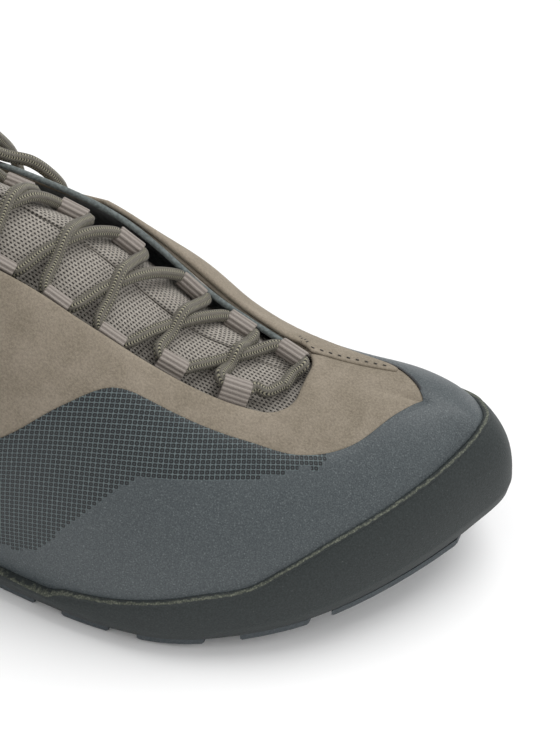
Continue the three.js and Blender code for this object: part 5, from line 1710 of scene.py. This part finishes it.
    def strand(self, start: Array, end: Array, over: bool) -> list[Array]:
        """Lace over the tongue between two places."""
        points = []
        for share in (0.25, 0.5, 0.75):
            taut = start + (end - start) * share
            x, y = taut[:2]
            lift = self.diameter - 0.8 if over and share == 0.5 else 0.0
            bed = self.last.spot(x, y, self.tongue.top_at(x, y) + self.diameter / 2)[0]
            taut[2] = max(taut[2] - self.sag, bed[2]) + lift
            points.append(taut)
        return points

    def half_lace(self, first_side: Side) -> Array:
        """Zigzag from the front bar to the knot."""
        bar_x = self.last.x_at(self.last.throat_front) - 4.2
        bar_y = self.last.throat_centre * self.last.ball_width - 3.9
        lift = self.tongue.top_at(bar_x, bar_y) + self.diameter / 2 + 1.2
        points = [self.last.spot(bar_x, bar_y - first_side.value * 0.8, lift)[0],
                  self.last.spot(*self.bar[first_side], lift)[0]]
        for k in range(self.loops):
            side = first_side if k % 2 == 0 else Side(-first_side.value)
            points += self.through(side, k)
            if k < self.loops - 1:
                following = self.through(Side(-side.value), k + 1)[0]
            else:
                x, y, z = self.knot
                following = np.array([x + 5.2, y + side.value * 6.6, z - 1.6])
            points += self.strand(points[-1], following, side is Side.LATERAL and k < self.loops - 1)
        return np.array(points + [following])

    def build_lace(self) -> bpy.types.Object:
        """Both halves of the lace through the loops."""
        radius = self.diameter / 2
        halves = [tube(smooth_through(self.half_lace(side), 9), radius, 30, 6, 0.09) for side in Side]
        piece = Form.joined(halves).made("lace_through_loops", [self.braid])
        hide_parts("lace_crossings")
        return piece

    def build_tip(self, side: Side) -> bpy.types.Object:
        """Crimped sleeve on the lace's end."""
        route = np.array(self.ends[side][-2:], float)
        ahead = unit(unit(route[1] - route[0]) + np.array([0, self.lean[side], 0]))
        across = unit(np.cross(ahead, [1.0, 0.2, 0.1]))
        up = np.cross(ahead, across)
        profile = ((0.0, 0.0), (0.02, 1.3), (0.3, 1.66), (1.2, 1.7), (1.5, 1.58), (1.8, 1.7), (9.0, 1.68),
                   (18.4, 1.62), (19.4, 1.5), (19.9, 1.1), (20.0, 0.0))
        sections = []
        for reach, size in profile:
            angle = 2 * np.pi * np.arange(24) / 24
            ring = size * (np.cos(angle)[:, None] * across + np.sin(angle)[:, None] * up)
            sections.append(route[1] + ahead * (0.6 + reach) + ring)
        piece = loft(np.array(sections), capped=False).made(f"lace_sleeve_{side.label}", [self.sleeve])
        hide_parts(f"lace_tip_{side.label}")
        return piece

    def build_knot(self) -> bpy.types.Object:
        """Bow knot: a wrap of lace round the two that cross under it."""
        x, y, z = self.knot
        angle = np.linspace(0, 2 * np.pi, 40)
        wrap = np.column_stack([x + 3.6 * np.cos(angle), y + 1.2 * np.sin(angle) + 0.6 * np.cos(angle),
                                z + 2.9 * np.sin(angle)])
        under = np.array([(x + 3.0, y - 4.6, z - 1.4), (x + 1.0, y - 2.0, z - 0.6), (x, y, z),
                          (x - 1.0, y + 2.0, z + 0.4), (x - 2.0, y + 4.6, z - 0.6)])
        cross = np.array([(x + 3.0, y + 4.6, z - 1.4), (x + 1.4, y + 2.0, z - 0.2), (x, y, z + 0.8),
                          (x - 1.4, y - 2.0, z), (x - 2.6, y - 4.4, z - 0.8)])
        forms = [tube(wrap[:-1], 1.5, 24, 6, 0.08)]
        forms += [tube(smooth_through(path, 8), 1.6, 24, 6, 0.08) for path in (under, cross)]
        piece = Form.joined(forms).made("lace_bow_knot", [self.braid])
        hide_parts("lace_knot")
        return piece

    def build_cord(self, name: str, points: Sequence[tuple], node: str,
                   carried: Sequence[bpy.types.Object]) -> bpy.types.Object:
        """One loop or end of the bow.

        Args:
            name: name of the piece.
            points: its route, from the knot outwards.
            node: node that it stands for.
            carried: pieces on it.

        Returns:
            The cord.
        """
        route = smooth_through(np.array(points, float), 8)
        piece = tube(route, self.diameter / 2, 30, 6, 0.09).made(name, [self.braid])
        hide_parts(node)
        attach(piece, "root")
        for other in carried:
            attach(other, "root")
        return piece

    def build(self) -> list[bpy.types.Object]:
        """Loops, lace, knot and bow."""
        pieces = [self.build_loop(side, k) for side in Side for k in range(self.loops)]
        pieces.append(self.build_lace())
        knot = self.build_knot()
        tips = {side: self.build_tip(side) for side in Side}
        pieces += [knot, *tips.values()]
        for side in Side:
            carried = [knot] if side is Side.MEDIAL else []
            pieces.append(self.build_cord(f"bow_{side.label}", self.bows[side],
                                          f"lace_bow_{side.label}", carried))
            pieces.append(self.build_cord(f"end_{side.label}", self.ends[side],
                                          f"lace_end_{side.label}", [tips[side]]))
        return pieces


@dataclass
class Studio:
    """Pale floor, soft light and the camera at the photo's angle."""

    target: tuple[float, float, float] = (77.8, 18.5, 42.8)
    azimuth: float = 20.0
    elevation: float = 48.8
    distance: float = 1000.0
    lens: float = 170.25
    floor_size: float = 30.0  # metres
    world: float = 0.7
    paper: str = "#fbfbfb"
    # Name, direction towards it, strength and angle in degrees of each broad light.
    suns = (("key", (0.25, 0.5, 1.0), 1.65, 40.0), ("toe", (1.0, 0.15, 0.7), 0.4, 30.0))

    def build(self) -> None:
        """Camera, lights and floor."""
        turn, rise = math.radians(self.azimuth), math.radians(self.elevation)
        back = Vector((math.sin(turn) * math.cos(rise), -math.cos(turn) * math.cos(rise), math.sin(rise)))
        target = Vector(self.target) * MM
        camera = bpy.data.objects.new("camera", bpy.data.cameras.new("camera"))
        camera.data.lens = self.lens
        camera.data.clip_end = 50.0
        camera.location = target + back * self.distance * MM
        camera.rotation_euler = back.to_track_quat("Z", "Y").to_euler()
        bpy.context.scene.collection.objects.link(camera)
        bpy.context.scene.camera = camera
        for name, place, strength, angle in self.suns:
            sun = bpy.data.objects.new(name, bpy.data.lights.new(name, "SUN"))
            sun.data.energy = strength
            sun.data.angle = math.radians(angle)
            sun.rotation_euler = Vector(place).to_track_quat("Z", "Y").to_euler()
            bpy.context.scene.collection.objects.link(sun)
        world = bpy.data.worlds.new("studio")
        world.use_nodes = True
        world.node_tree.nodes["Background"].inputs["Color"].default_value = (1.0, 1.0, 1.0, 1.0)
        world.node_tree.nodes["Background"].inputs["Strength"].default_value = self.world
        bpy.context.scene.world = world
        bpy.context.scene.view_settings.view_transform = "Standard"
        half = self.floor_size / 2
        mesh = bpy.data.meshes.new("floor")
        mesh.from_pydata([(-half, -half, 0), (half, -half, 0), (half, half, 0), (-half, half, 0)], [], [(0, 1, 2, 3)])
        floor = bpy.data.objects.new("floor", mesh)
        bpy.context.scene.collection.objects.link(floor)
        paper = bpy.data.materials.new("paper_matte_white")
        paper.use_nodes = True
        shader = paper.node_tree.nodes["Principled BSDF"]
        shader.inputs["Base Color"].default_value = colour(self.paper)
        shader.inputs["Roughness"].default_value = 1.0
        shader.inputs["Specular IOR Level"].default_value = 0.0
        mesh.materials.append(paper)


def main() -> None:
    """Build the shoe piece by piece and set it in the studio."""
    Studio().build()
    last = Last()
    tongue = Tongue(last)
    lacing = Lacing(last, tongue)
    pieces = lacing.build()
    rand = Rand(last)
    sole = Sole(last)
    pieces += [tongue.build(), rand.build(), sole.build_outsole(), sole.build_midsole(), sole.build_insole()]
    upper = Upper(last, rand)
    pieces += upper.build()
    pieces.append(upper.build_edging(Side.MEDIAL))
    pieces.append(upper.build_threads([lacing.frame(Side.MEDIAL, k).x for k in range(lacing.loops)]))
    for piece in pieces:
        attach(piece, "root")
        log.info("%s: %d faces", piece.name, len(piece.data.polygons))


if __name__ == "__main__":
    main()
